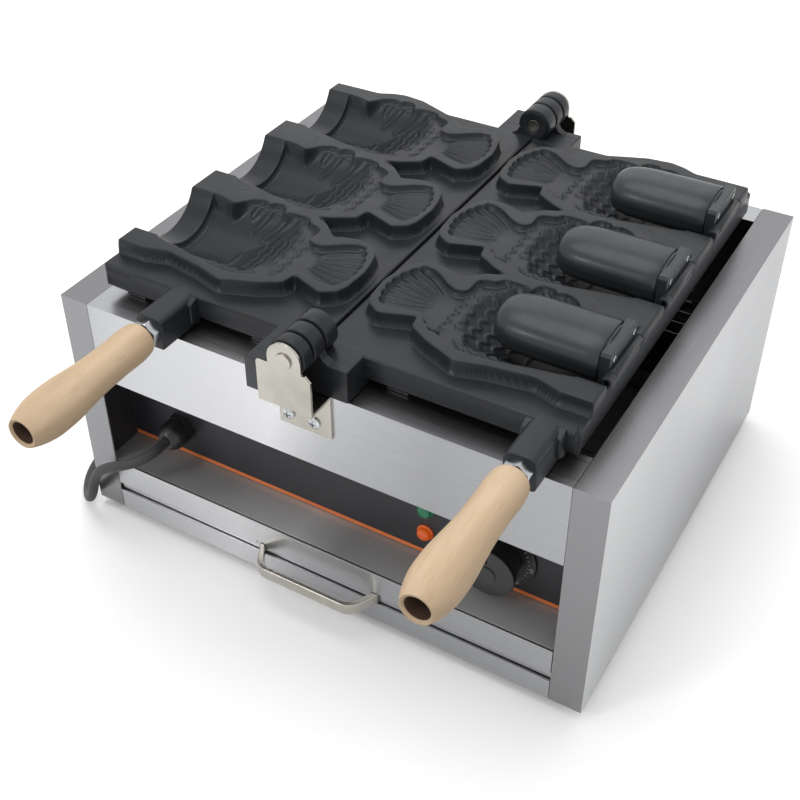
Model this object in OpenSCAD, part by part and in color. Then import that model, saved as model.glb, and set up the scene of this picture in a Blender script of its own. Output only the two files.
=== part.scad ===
// Open-mouth taiyaki maker: two cast mould halves lie open side by side in the top of a
// stainless cabinet and fold over each other on one front-to-back hinge line.
// Lengths are in millimetres. +X is to the right, +Y to the back and +Z up, and the
// cabinet's front face is at y = 0 until stand() moves the whole machine to its origin.

/* [Cabinet] */
// Width of the cabinet over its side panels
cab_w = 420; // [390:1:480]
// Depth of the cabinet over its front and back
cab_d = 365; // [360:1:400]
// Height of the cabinet's sheet metal, without the feet
cab_h = 197; // [180:1:240]
// Thickness of the stainless sheet
sheet = 1.2; // [0.8:0.1:1.6]
// Width of the folded edges of the side panels
flange = 24; // [16:1:26]
// Height of the front plate above the recess
fascia_h = 66; // [50:1:76]
// Depth of the front plate's top fold
fascia_fold = 30; // [22:1:32]
// Height of the lower front rail
rail_h = 18; // [12:1:22]
// Height of the recess floor above the cabinet's bottom edge
recess_h = 48.5; // [44:0.5:60]
// Distance of the black control panel behind the front
panel_setback = 35; // [30:1:45]
// Height of the rubber feet
foot_h = 8; // [5:1:15]
// Radius of a rubber foot
foot_r = 11; // [8:0.5:15]
// Distance of each foot's centre from the cabinet's edges
foot_inset = 28; // [20:1:50]

/* [Crumb drawer] */
// Height of the drawer front
drawer_front_h = 22.5; // [18:0.5:26]
// How far the strip under the drawer front lies back
drawer_step = 2.4; // [1.5:0.1:4]
// Gap between the drawer front and the posts
drawer_gap = 0.6; // [0.3:0.1:1.5]
// Space between the drawer tray and the cabinet's back
tray_back_gap = 43; // [35:1:60]
// Height of the drawer tray's walls
tray_h = 20; // [12:1:24]
// Distance between the roots of the drawer handle
grip_span = 96; // [70:1:140]
// How far the drawer handle stands out
grip_reach = 21; // [16:1:32]
// Height of the drawer handle's flat bar
grip_bar_h = 9.5; // [7:0.5:11]
// Thickness of the drawer handle's flat bar
grip_bar_t = 4; // [3:0.5:5]

/* [Moulds] */
// Height of the hinge line and of the closed joint face above the cabinet's top
axis_rise = 37; // [34:1:50]
// Gap between the two halves at the joint face
joint_gap = 0.3; // [0.2:0.1:0.6]
// Gap between each half and the middle line
seam = 0.5; // [0.3:0.1:1]
// Outer edge of each half, from the middle line
mould_w = 180.5; // [178:0.5:183]
// Front edge of the mould plates, behind the cabinet's front
mould_front = 17; // [14:1:20]
// Space between the mould plates and the cabinet's back
mould_back_gap = 27; // [24:1:30]
// Thickness of the mould plates
plate_t = 23.5; // [20:0.5:26]
// Height of the fish-shaped rims above the plates
rim_h = 10.5; // [8:0.5:13]
// Size of the chamfer along the lower edges of the plates
plate_chamfer = 7; // [3:0.5:10]
// Height of the heater block under each plate
block_h = 18; // [14:1:24]
// Depth of the belly of a fish below the joint face
belly_depth = 26; // [22:0.5:28]
// Depth of the tail and of the fins below the joint face
tail_depth = 5; // [4:0.5:7]
// Height of the raised fins, scales and ribs in the fish
relief_h = 1.2; // [0.6:0.1:2]
// Half the width of the mouth at the joint face
mouth_w = 33; // [30:0.5:34]
// Depth of the mouth below the joint face
mouth_depth = 21.5; // [19:0.5:22.5]

/* [Mouth cores] */
// Half the width of a core
core_w = 24; // [20:0.5:26]
// Half the height of a core
core_h = 16; // [12:0.5:17]
// Length of a core, from its nose to its end plate
core_l = 83; // [74:1:86]
// Radius of the rod that a core turns on
core_pin_r = 2; // [1.5:0.1:2.5]
// Running clearance around the rods and hinge pins
run_gap = 0.05; // [0.02:0.01:0.1]

/* [Hinge] */
// Radius of a hinge knuckle
knuckle_r = 13.5; // [12:0.5:14]
// Radius of the hinge pins
pin_r = 5; // [4:0.5:6]
// Width of each hinge lug, from the middle line
lug_w = 33; // [26:1:45]
// Thickness of the hinge brackets
bracket_t = 2; // [1.5:0.5:3]
// Half the width of the hinge brackets
bracket_w = 21.5; // [20:0.5:28]

/* [Handles] */
// Distance of the left handle from the middle line
left_handle_x = 112.5; // [95:0.5:130]
// Distance of the right handle from the middle line
right_handle_x = 158.5; // [140:0.5:164]
// Height of the handles below the joint face
handle_drop = 22; // [18:0.5:24]
// Length of a wooden grip
grip_l = 112; // [90:1:150]
// Largest radius of a wooden grip
grip_r = 16; // [14:0.5:20]
// Radius of the rods that carry the grips
rod_r = 5; // [4:0.5:6]
// Distance across the flats of the nuts
nut_flats = 17; // [15:0.5:19]

/* [Controls] */
// Distance of the thermostat from the cabinet's right side
knob_inset = 82; // [60:1:110]
// Height of the thermostat above the recess floor
knob_rise = 31.5; // [29:0.5:40]
// Radius of the thermostat knob
knob_r = 20.5; // [14:0.5:24]
// Radius of the numbered ring around the knob
bezel_r = 27.5; // [24:0.5:28]
// Distance of the two lamps from the cabinet's right side
lamp_inset = 140; // [120:1:170]
// Distance of the lead's gland from the cabinet's left side
gland_inset = 66; // [50:1:90]
// Depth of the recess floor that carries the controls
control_d = 96; // [90:1:110]
// Height of the black control panel
control_h = 93; // [88:1:100]
// Radius of a lamp's lens
lamp_r = 5.5; // [4:0.5:7]
// Height of the upper lamp above the recess floor
upper_lamp_rise = 44; // [36:1:60]
// Height of the lower lamp above the recess floor
lower_lamp_rise = 22; // [14:1:28]

/* [Mains lead] */
// Diameter of the mains lead
cord_d = 8; // [6:0.5:9]
// Radius of the coil's outer turn at the middle of the lead
coil_r = 52; // [46:1:60]
// Distance between the turns of the coil
coil_step = 8.6; // [8.5:0.1:10]

/* [Hidden] */
$fn = 48;
eps = 0.01;
clear = 0.3;

// Heights above the surface that the feet stand on
cab_top = foot_h + cab_h;
axis_z = cab_top + axis_rise;
rim_z = axis_z - joint_gap / 2;
deck_z = axis_z - rim_h;
plate_z = deck_z - plate_t;
block_z = plate_z - block_h;
recess_z = foot_h + recess_h;
handle_z = axis_z - handle_drop;
fascia_z = cab_top - fascia_h;

// Places front to back
mould_d = cab_d - mould_front - mould_back_gap;
mould_back = mould_front + mould_d;
mould_mid = mould_front + mould_d / 2;
// The fish are drawn for plates of this width and length, and stretch with them
drawn_plate = [180.5, 321];
fish_fit = [mould_w / drawn_plate[0], mould_d / drawn_plate[1]];
fish_pitch = 95.5;
fish_y = [for (i = [-1 : 1]) mould_mid + (5 + i * fish_pitch) * fish_fit[1]];
opening_back = cab_d - flange + 1;
tray_d = cab_d - tray_back_gap;
knuckles = [[-21, -9.2], [-8.8, 4.6], [5, 20]];
bracket_front = knuckles[0][0] - clear - bracket_t;
// The brackets reach less far to the right, and their screws sit to the left
bracket_edge = bracket_w - 2.5;
bracket_screw_x = [-14, 6];
bracket_screw_z = cab_top - 25.5;
right_lug_front = -3;
boss_front = -17.5;
nut_t = 8;
grip_root = boss_front - nut_t - 0.5;
grip_end = grip_root - grip_l;
grip_bore_r = grip_r / 2;
pin_head_t = 1.6;
machine_back = 2 * mould_mid - bracket_front + pin_head_t;
mid_y = (machine_back + grip_end) / 2;

// Places across the machine
post_x = cab_w / 2 - flange;
inner_x = cab_w / 2 - sheet;

// The rod of a mouth core
core_pin_x = mould_w - 1.8;
core_pin_z = axis_z - 1;
core_knuckle_r = core_pin_r + 1.4;
core_face_x = mould_w - 3.3;
core_plate_t = 7;
core_plate_w = core_w - 2;
core_plate_h = core_h - 3;
core_nose_x = core_face_x - core_l;
ear_w = 7.6;
saddle_x = mould_w - 20.5;
wall_t = 2.9;
// Radius of the round mouth and the height of its centre above the joint face
saddle_r = (mouth_w * mouth_w + mouth_depth * mouth_depth) / (2 * mouth_depth);
saddle_z = axis_z + saddle_r - mouth_depth;

// Control panel fittings
knob_x = cab_w / 2 - knob_inset;
lamp_x = cab_w / 2 - lamp_inset;
knob_z = recess_z + knob_rise;
gland_x = gland_inset - cab_w / 2;
gland_z = recess_z + 27.5;

module stand() { translate([0, -mid_y, 0]) children(); }

// Points of a closed outline bent into a smooth curve, with k steps between given points
function curve(p, k) = let (n = len(p)) [
    for (i = [0 : n - 1], j = [0 : k - 1])
        let (a = p[(i + n - 1) % n], b = p[i], c = p[(i + 1) % n], d = p[(i + 2) % n], t = j / k)
        0.5 * (2 * b + (c - a) * t + (2 * a - 5 * b + 4 * c - d) * t * t
            + (3 * b - a - 3 * c + d) * t * t * t)];

// One point of an oval whose sides get flatter as n grows
function oval_at(a, b, n, t) = [
    a * sign(cos(t)) * pow(abs(cos(t)), 2 / n),
    b * sign(sin(t)) * pow(abs(sin(t)), 2 / n)];
function oval(a, b, n, from, to, steps) = [
    for (i = [0 : steps]) oval_at(a, b, n, from + (to - from) * i / steps)];

// A box given by its lowest and highest corners
module box(low, high) { translate(low) cube(high - low); }

// A cylinder along Y between two places
module rod_y(x, z, y0, y1, r, fn = 48) {
    translate([x, y0, z]) rotate([-90, 0, 0]) cylinder(r = r, h = y1 - y0, $fn = fn);
}

// A profile in X and Z pushed along Y, and one in Y and Z pushed along X
module along_y(y0, y1) {
    translate([0, y1, 0]) rotate([90, 0, 0]) linear_extrude(y1 - y0) children();
}
module along_x(x0, x1) {
    translate([x0, 0, 0]) rotate([90, 0, 90]) linear_extrude(x1 - x0) children();
}

// A shape and its mirror image front to back about the middle of the moulds
module front_and_rear() {
    children();
    translate([0, 2 * mould_mid, 0]) mirror([0, 1, 0]) children();
}

// A pan-head screw with its head's seat at z = 0 and a cross recess
module pan_screw(head_r, head_h, shank_r, shank_l) {
    difference() {
        union() {
            intersection() {
                cylinder(r = head_r, h = head_h, $fn = 32);
                translate([0, 0, head_h - head_r * 1.6]) sphere(r = head_r * 1.6, $fn = 48);
            }
            translate([0, 0, -shank_l]) cylinder(r = shank_r, h = shank_l + eps, $fn = 24);
        }
        for (turn = [0, 90])
            rotate([0, 0, turn])
                translate([-head_r * 0.55, -head_r * 0.1, head_h * 0.45])
                    cube([head_r * 1.1, head_r * 0.2, head_h]);
    }
}

// Cabinet

module side_panel() {
    top = cab_top;
    half = cab_w / 2;
    box([half - sheet, 0, foot_h], [half, cab_d, top]);
    box([post_x, 0, foot_h], [half, sheet, top]);
    box([post_x, cab_d - sheet, foot_h], [half, cab_d, top]);
    box([post_x, 0, top - sheet], [half, cab_d, top]);
    box([half - 14, 0, foot_h], [half, cab_d, foot_h + sheet]);
}

module drilled_side_panel(side) {
    color("gainsboro") stand() difference() {
        mirror([side, 0, 0]) side_panel();
        back_screw_places() translate([0, 0, -4]) cylinder(r = 2, h = 5, $fn = 24);
    }
}

module left_side_panel() { drilled_side_panel(1); }
module right_side_panel() { drilled_side_panel(0); }

module front_fascia() {
    edge = post_x - 0.3;
    color("silver") stand() difference() {
        union() {
            box([-edge, 0, fascia_z], [edge, sheet, cab_top]);
            box([-edge, 0, cab_top - sheet], [edge, fascia_fold, cab_top]);
            box([-edge, 0, fascia_z], [edge, 9, fascia_z + sheet]);
            for (side = [-1, 1])
                translate([side * (edge + 4) - 12, sheet - eps, fascia_z + 6])
                    cube([24, sheet, fascia_h - 12]);
        }
        bracket_screw_holes(0);
    }
}

// Places of the screws in the back, and the holes of the hinge brackets' screws
module back_screw_places() {
    for (side = [-1, 1], row = [0 : 2])
        translate([side * (post_x + 12), cab_d, foot_h + 24 + row * 74]) rotate([-90, 0, 0])
            children();
}
module bracket_screw_holes(y) {
    for (x = bracket_screw_x)
        rod_y(x, bracket_screw_z, y - 3, y + 3, 2.1, 24);
}

module back_panel() {
    edge = inner_x - 0.3;
    back = cab_d - sheet;
    color("silver") stand() difference() {
        union() {
            box([-edge, back - sheet, foot_h + sheet], [edge, back, cab_top - sheet]);
            box([-post_x + 0.3, opening_back, cab_top - sheet],
                [post_x - 0.3, back, cab_top]);
        }
        for (side = [-1, 1], row = [0 : 4])
            translate([side * 110, 0, foot_h + 60 + row * 12])
                box([-34, back - sheet - 1, -2], [34, back + 1, 2]);
        bracket_screw_holes(back);
        back_screw_places() translate([0, 0, -4]) cylinder(r = 2, h = 5, $fn = 24);
    }
}

module base_pan() {
    edge = inner_x - 0.3;
    color("darkgray") stand() difference() {
        union() {
            box([-edge, sheet, foot_h + sheet], [edge, cab_d - 2 * sheet, foot_h + 2 * sheet]);
            box([-post_x + 0.3, 0, foot_h], [post_x - 0.3, sheet, foot_h + rail_h]);
            box([-post_x + 0.3, 0, foot_h + rail_h - sheet], [post_x - 0.3, 9, foot_h + rail_h]);
            box([-post_x + 0.3, 0, foot_h], [post_x - 0.3, 9, foot_h + sheet + eps]);
        }
        for (i = [-3 : 3], row = [0, 1])
            translate([i * 48, cab_d * (0.35 + 0.3 * row), foot_h])
                box([-2, -30, -1], [2, 30, 2 * sheet + 1]);
    }
}

module recess_floor() {
    edge = inner_x - 0.3;
    color("silver") stand() {
        box([-edge, sheet + 0.6, recess_z - sheet], [edge, control_d, recess_z]);
        for (side = [-1, 1])
            box([side > 0 ? edge - sheet : -edge, sheet + 1.6, recess_z - 10],
                [side > 0 ? edge : -edge + sheet, control_d, recess_z]);
    }
}

module control_panel() {
    edge = cab_w / 2 - 16;
    top = recess_z + control_h;
    color("#26272b") stand() difference() {
        union() {
            box([-edge, panel_setback, recess_z], [edge, panel_setback + sheet, top]);
            for (side = [-1, 1])
                box([side > 0 ? edge - sheet : -edge, 2 * sheet + 0.2, recess_z],
                    [side > 0 ? edge : -edge + sheet, panel_setback + eps, top]);
            box([-edge, panel_setback, top - sheet], [edge, panel_setback + 12, top]);
        }
        rod_y(knob_x, knob_z, panel_setback - 1, panel_setback + 5, 5.2);
        for (rise = [upper_lamp_rise, lower_lamp_rise])
            rod_y(lamp_x, recess_z + rise, panel_setback - 1, panel_setback + 5, 4.2);
        rod_y(gland_x, gland_z, panel_setback - 1, panel_setback + 5, 8.1);
    }
}

module panel_stripe() {
    edge = cab_w / 2 - 16 - sheet - 0.2;
    color("#d0744a") stand()
        box([-edge, panel_setback - 0.3, recess_z + 0.8], [edge, panel_setback, recess_z + 4.2]);
}

module control_box() {
    front = panel_setback + sheet;
    back = control_d - 2;
    top = recess_z + control_h;
    edge = cab_w / 2 - 18;
    color("gray") stand() {
        box([-edge, back, recess_z], [edge, back + sheet, top]);
        box([-edge, front + 12, top - 2 * sheet], [edge, back + eps, top - sheet]);
        box([-edge, front + 12 - sheet, top - 14], [edge, front + 12, top - sheet]);
        for (side = [-1, 1])
            box([side > 0 ? edge - sheet : -edge, front + 12, recess_z],
                [side > 0 ? edge : -edge + sheet, back + eps, top - sheet]);
    }
}

module drawer_runners() {
    bottom = foot_h + rail_h + 1.2;
    color("gray") stand() for (side = [0, 1]) mirror([side, 0, 0]) {
        box([inner_x - 26, 12, bottom], [inner_x, tray_d + 6, bottom + sheet]);
        box([inner_x - sheet, 12, bottom], [inner_x, tray_d + 6, bottom + 16]);
    }
}

module rubber_feet() {
    color("#202020") stand() for (sx = [-1, 1], back = [0, 1])
        translate([sx * (cab_w / 2 - foot_inset),
            back == 1 ? cab_d - foot_inset : foot_inset, 0])
            rotate_extrude() polygon([[0, 0], [foot_r - 1.5, 0], [foot_r, 1.5],
                [foot_r - 1, foot_h + sheet], [0, foot_h + sheet]]);
}

module cabinet_screws() {
    color("gainsboro") stand() back_screw_places() pan_screw(4, 2.4, 1.9, 2.2 * sheet);
}

// Controls

module thermostat_body() {
    back = panel_setback + sheet;
    color("burlywood") stand() {
        box([knob_x - 18, back, knob_z - 18], [knob_x + 18, back + 26, knob_z + 18]);
        rod_y(knob_x, knob_z, back + 26 - eps, back + 34, 14);
        rod_y(knob_x, knob_z, panel_setback - 2.2, back, 5);
        rod_y(knob_x, knob_z, panel_setback - 14, panel_setback, 3);
    }
}

module thermostat_bezel() {
    color("#18181b") stand() difference() {
        rod_y(knob_x, knob_z, panel_setback - 2, panel_setback, bezel_r, 96);
        rod_y(knob_x, knob_z, panel_setback - 3, panel_setback + 1, 5.2);
    }
}

// The knob flares from its foot to a rounded front edge and carries a finger bar
module thermostat_knob() {
    depth = 21;
    color("#3a3a3d") stand() translate([knob_x, panel_setback - 2.3, knob_z])
        rotate([90, 0, 0]) difference() {
            union() {
                rotate_extrude($fn = 96) polygon([
                    [3.05, 0], [knob_r - 4, 0], [knob_r - 3.6, 3], [knob_r - 2.4, 9],
                    [knob_r - 0.6, depth - 6], [knob_r, depth - 3.4], [knob_r - 0.3, depth - 2.2],
                    [knob_r - 1.4, depth - 1.6], [knob_r * 0.55, depth - 0.6],
                    [knob_r * 0.3, depth - 0.4], [3.05, depth - 0.4]]);
                translate([0, 0, depth - 3]) cylinder(r = knob_r * 0.36, h = 3.4, $fn = 64);
            }
            translate([0, 0, -1]) cylinder(r = 3.05, h = 13.5);
            translate([-0.7, knob_r * 0.5, depth - 1.9]) cube([1.4, knob_r * 0.42, 3]);
        }
}

module lamp(rise, tint) {
    z = recess_z + rise;
    color(tint) stand() {
        translate([lamp_x, panel_setback, z]) rotate([90, 0, 0])
            rotate_extrude($fn = 48) polygon([[0, -14], [3.6, -14], [4, -13], [4, 0],
                [lamp_r + 1, 0], [lamp_r + 1, 1.2], [lamp_r, 1.6], [lamp_r, 3],
                [lamp_r - 0.8, 4.6], [lamp_r - 2.4, 5.6], [0, 6]]);
    }
}

module power_lamp() { lamp(upper_lamp_rise, "#2f8a63"); }
module heat_lamp() { lamp(lower_lamp_rise, "#c9581f"); }

module terminal_block() {
    color("whitesmoke") stand() translate([-96, 60, recess_z]) difference() {
        cube([48, 18, 16]);
        for (i = [0 : 2])
            translate([8 + i * 16, 9, 6]) cylinder(r = 3, h = 12);
    }
}

// Cable gland: lock nut behind the panel, hexagon seat and domed nut in front
module cord_gland() {
    color("#1d1d1f") stand() translate([gland_x, panel_setback, gland_z]) rotate([90, 0, 0])
        union() {
            translate([0, 0, -sheet - 5]) cylinder(r = 12, h = 5, $fn = 6);
            translate([0, 0, -sheet - 6]) cylinder(r = 8, h = sheet + 7);
            cylinder(r = 12.5, h = 6, $fn = 6);
            cylinder(r = 8, h = 8);
            translate([0, 0, 6.4]) rotate_extrude($fn = 48) polygon([[0, 0], [11, 0],
                [11.4, 1], [11.4, 7], [10.6, 10.4], [8.6, 13.4], [7, 15], [6.2, 15.6],
                [0, 15.6]]);
        }
}

// Mains lead

// The whole lead keeps its place beside its gland, which is drawn at x = -144
function with_gland(route) = [for (p = route) p + [gland_x + 144, 0, 0]];

// Route of the lead: out of the gland, over the left end of the drawer front, down to
// the surface and round the corner to the coil beside the cabinet
lead_route = with_gland([
    [-144, 13, 84], [-144, 5, 84], [-144.8, -2, 83.6], [-147.5, -8.5, 82.4],
    [-152.5, -13.5, 80.2], [-159.5, -16.5, 77], [-168, -17.8, 72.6], [-177, -18, 67],
    [-185.5, -17.6, 60], [-192, -17, 51.5], [-196.5, -16.5, 42], [-200, -16, 32.5],
    [-204.5, -14.5, 23], [-211, -11, 14.6], [-219, -5, 8.4], [-227, 3, 5.2],
    [-234, 12.5, 4.2], [-239.5, 23.5, 4.1], [-243.5, 36, 4.1], [-246, 50, 4.1],
    [-247.4, 66, 4.1], [-248, 84, 4.1], [-248, 104, 4.1], [-248, 124, 4.1],
    [-248, 144, 4.1], [-248, 164, 4.1], [-248, 182, 4.1], [-248, 190, 4.1]]);
// Route of its end, off the coil's upper turn and into the plug
tail_route = with_gland([
    [-248, 206, 12.7], [-248, 214, 12.7], [-247.6, 226, 12.4], [-246.6, 238, 12.6],
    [-245.4, 250, 13.8], [-244.6, 262, 15.6], [-244.2, 272, 17], [-244, 280, 17.6]]);
coil_centre = [-300 + gland_x + 144, 198];
coil_turns = 1.75;
coil_sides = 6;
coil_rings = 24;
plug_r = 17.5;

function unit(v) = v / norm(v);
function ring_at(c, t, lift, r, sides) =
    let (u = unit(cross(t, lift)), v = cross(unit(t), u))
    [for (k = [0 : sides - 1]) c + r * (cos(360 * k / sides) * u + sin(360 * k / sides) * v)];

// A closed tube through a list of points
module tube(line, r, sides, lift, first, last) {
    n = len(line);
    heading = [for (i = [0 : n - 1])
        i == 0 ? first : i == n - 1 ? last : line[i + 1] - line[i - 1]];
    skin = [for (i = [0 : n - 1]) each ring_at(line[i], heading[i], lift, r, sides)];
    faces = concat(
        [for (i = [0 : n - 2], k = [0 : sides - 1], half = [0, 1])
            let (a = i * sides + k, b = i * sides + (k + 1) % sides)
            half == 0 ? [a, b + sides, b] : [a, a + sides, b + sides]],
        [[for (k = [0 : sides - 1]) k]],
        [[for (k = [sides - 1 : -1 : 0]) (n - 1) * sides + k]]);
    polyhedron(points = skin, faces = faces, convexity = 8);
}

module power_cord() {
    color("#3a3b3d") stand()
        tube(lead_route, cord_d / 2, 10, [-0.3, 0.2, 1], [0, -1, 0], [0, 1, 0]);
}

// The coil spirals in on the surface, climbs a layer in half a turn and spirals out
// again, and it lifts a little where the tie passes under it
function coil_climb(turn) = min(1, max(0, (turn - coil_turns) / 0.5));
function coil_radius(turn) =
    coil_r - 1.2 * sin(180 * coil_climb(turn))
    - coil_step * min(turn, coil_turns, 2 * coil_turns + 0.5 - turn);
function coil_height(turn) =
    let (up = coil_climb(turn))
    cord_d / 2 + 0.1 + (cord_d + 0.6) * up + 1.2 * pow(max(0, sin(-360 * turn)), 6);
coil_steps = (2 * coil_turns + 0.5) * coil_rings;
coil_last = coil_height(2 * coil_turns + 0.5);
coil_line = [
    [coil_centre[0] + coil_r, coil_centre[1] - cord_d, cord_d / 2 + 0.1],
    for (i = [0 : coil_steps])
        let (turn = i / coil_rings, r = coil_radius(turn))
        [coil_centre[0] + r * cos(360 * turn), coil_centre[1] + r * sin(360 * turn),
            coil_height(turn)],
    [coil_centre[0] + coil_r, coil_centre[1] + cord_d, coil_last]];

// Least distance between turns that are half a turn or more apart, less the lead itself
coil_gaps = [for (i = [0 : coil_steps], j = [i + coil_rings / 2 : coil_steps])
    norm(coil_line[i] - coil_line[j])];
echo(least_gap_between_turns = min(coil_gaps) - cord_d);

module cord_coil() {
    color("#3a3b3d") stand()
        tube(coil_line, cord_d / 2, coil_sides, [0, 0, 1], [0, 1, 0], [0, 1, 0]);
}

module cord_tail() {
    color("#3a3b3d") stand()
        tube(tail_route, cord_d / 2, 10, [0, 0, 1], [0, 1, 0], [0, 1, 0]);
}

// Strap round the coil at its front
module cord_tie() {
    inner = coil_r - coil_step * coil_turns - cord_d / 2 - 2;
    outer = coil_r + cord_d / 2 + 1;
    top = coil_height(2 * coil_turns + 0.25) + cord_d / 2 + 0.3;
    strap = 0.9;
    color("#202022") stand() translate([coil_centre[0] - 8, coil_centre[1], 0])
        difference() {
            union() {
                box([0, -outer - strap, 0], [16, -inner + strap, top + strap]);
                box([0, -outer - strap, top + strap - eps],
                    [16, -(inner + outer) / 2, top + 2 * strap]);
            }
            box([-1, -outer, strap], [17, -inner, top]);
        }
}

// Round two-pin plug lying on its side, with a tapered sleeve and two pins
module mains_plug() {
    end = tail_route[len(tail_route) - 1];
    color("#2b2b2d") stand() translate([end[0], end[1], plug_r + 0.1]) rotate([-90, 0, 0]) {
        rotate_extrude($fn = 48) polygon([[0, 0], [cord_d / 2 + 1, 0],
            [cord_d / 2 + 2.5, 20], [11, 24], [plug_r - 2, 28], [plug_r, 31],
            [plug_r, 52], [plug_r - 1, 54], [0, 54]]);
        for (side = [-1, 1])
            translate([side * 9.5, 0, 54 - eps]) {
                cylinder(r = 2.4, h = 17);
                translate([0, 0, 17]) sphere(r = 2.4);
            }
    }
}

// Crumb drawer

// Heights of the drawer front's lower edge, of the strip under it and of its handle
front_low = recess_z - drawer_front_h;
strip_low = foot_h + rail_h + 2 * drawer_gap;
grip_low = foot_h + rail_h + drawer_gap;
grip_top = grip_low + grip_bar_h;
grip_screw_z = grip_low + grip_bar_h / 2 + 0.5;
grip_lean = 12;

module crumb_drawer() {
    half = post_x - drawer_gap;
    bottom = foot_h + rail_h + 2.7;
    tray = inner_x - 26.8;
    root = grip_span / 2;
    color("silver") stand() difference() {
        union() {
            box([-half, 0, front_low], [half, sheet, recess_z]);
            box([-half, 0, front_low], [half, drawer_step + sheet, front_low + sheet]);
            box([-half, drawer_step, strip_low], [half, drawer_step + sheet, grip_top + 2]);
            box([-half, drawer_step, strip_low], [half, 8, strip_low + sheet]);
            box([-tray, 8 - sheet, bottom], [tray, tray_d, bottom + sheet]);
            box([-tray, 8 - sheet, strip_low], [tray, 8, bottom + tray_h]);
            box([-tray, sheet - eps, bottom + tray_h - sheet], [tray, 8, bottom + tray_h]);
            box([-tray, tray_d - sheet, bottom], [tray, tray_d, bottom + tray_h]);
            for (side = [-1, 1])
                box([side > 0 ? tray - sheet : -tray, 8 - sheet, bottom],
                    [side > 0 ? tray : -tray + sheet, tray_d, bottom + tray_h]);
        }
        for (side = [-1, 1]) {
            translate([side * (root + grip_bar_t / 2), 0, 0])
                box([-grip_bar_t, -1, front_low - 1],
                    [grip_bar_t, drawer_step, grip_top + drawer_gap]);
            rod_y(side * (root + grip_bar_t / 2), grip_screw_z, drawer_step - 1,
                drawer_step + sheet + 1, 1.7, 24);
        }
    }
}

// Flat bar bow whose slanting legs pass notches in the drawer front and end on the
// strip behind it
module drawer_handle() {
    half = grip_span / 2;
    bend = 13;
    reach = grip_reach + drawer_step;
    color("#c9c5bd") stand() translate([0, drawer_step, grip_low])
        linear_extrude(grip_bar_h) difference() {
            bow(half + grip_bar_t, half - grip_lean + grip_bar_t, reach, bend, 0);
            bow(half, half - grip_lean, reach - grip_bar_t, bend - grip_bar_t, 1);
        }
}

// Half of the bow is a straight leg and an arc; reach is how far it stands out
module bow(root, front, reach, bend, past) {
    slope = atan2(reach, root - front);
    arc = [for (k = [0 : 8]) let (turn = slope * k / 8)
        [front - bend * tan(slope / 2) + bend * sin(turn),
            -reach + bend - bend * cos(turn)]];
    side = concat(arc, [[root, 0], [root, past]]);
    polygon(concat(side, [for (i = [len(side) - 1 : -1 : 0]) [-side[i][0], side[i][1]]]));
}

module drawer_handle_screws() {
    color("gainsboro") stand() for (side = [-1, 1])
        translate([side * (grip_span + grip_bar_t) / 2, drawer_step + sheet, grip_screw_z])
            rotate([-90, 0, 0]) pan_screw(3, 2, 1.6, sheet);
}

// Hinge brackets and pins

// Front bracket: a tab round the pin, a step back under the lugs and a foot on the cabinet
module bracket(foot_drop, step_back) {
    low = cab_top - foot_drop;
    step_z = cab_top + 1;
    tab_r = knuckle_r - 1;
    difference() {
        union() {
            along_y(bracket_front, bracket_front + bracket_t) difference() {
                union() {
                    translate([0, axis_z]) circle(r = tab_r);
                    translate([-tab_r, step_z]) square([2 * tab_r, axis_z - step_z]);
                    polygon([[-bracket_w, axis_z - 7], [-bracket_w, step_z],
                        [bracket_edge, step_z], [bracket_edge, axis_z - 11],
                        [bracket_edge - 4, axis_z - 7]]);
                }
                translate([0, axis_z]) circle(r = pin_r);
            }
            box([-bracket_w, bracket_front, step_z - bracket_t],
                [bracket_edge, step_back, step_z]);
            box([-bracket_w, step_back - bracket_t, low],
                [bracket_edge, step_back, step_z]);
        }
        for (x = bracket_screw_x)
            rod_y(x, bracket_screw_z, step_back - 3, step_back + 1, 2.1, 24);
    }
}

module front_hinge_bracket() {
    color("#c9c5bd") stand() bracket(fascia_h - 31, 0);
}

module rear_hinge_bracket() {
    color("#c9c5bd") stand() translate([0, 2 * mould_mid, 0]) mirror([0, 1, 0])
        bracket(fascia_h - 31, 2 * mould_mid - cab_d + sheet);
}

module bracket_screws() {
    color("gainsboro") stand() for (x = bracket_screw_x) {
        translate([x, -bracket_t, bracket_screw_z]) rotate([90, 0, 0])
            pan_screw(4.5, 2.8, 2, 6);
        translate([x, cab_d - sheet + bracket_t, bracket_screw_z]) rotate([-90, 0, 0])
            pan_screw(4.5, 2.8, 2, 6);
    }
}

module hinge_pin() {
    rod_y(0, axis_z, bracket_front, knuckles[2][1] + 0.2, pin_r);
    rod_y(0, axis_z, bracket_front - pin_head_t, bracket_front, pin_r + 0.8);
}

module front_hinge_pin() {
    color("silver") stand() hinge_pin();
}

module rear_hinge_pin() {
    color("silver") stand() translate([0, 2 * mould_mid, 0]) mirror([0, 1, 0]) hinge_pin();
}

// Moulds

// Outline of a fish hollow for the half on the right, from the middle line, with the
// tail by the seam and the open mouth on the outside
fish_inner = [[160.5, 33], [149, 32], [139, 29.5], [133, 37], [121, 44.5], [108, 42.5],
    [95, 40], [82, 36], [70, 31], [63, 26], [62.5, 16], [56, 12], [48, 14.5], [41, 19.5],
    [33, 23], [24.5, 22.5], [18.5, 15], [14.5, 3], [12.5, -9], [13.5, -20], [20, -26],
    [30, -25], [42, -23], [49.5, -24.5], [57, -33], [66, -37.5], [75, -42], [85, -45.5],
    [96, -46.5], [109, -44.5], [123, -42], [138, -38.5], [150, -36.5], [160.5, -34]];
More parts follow.
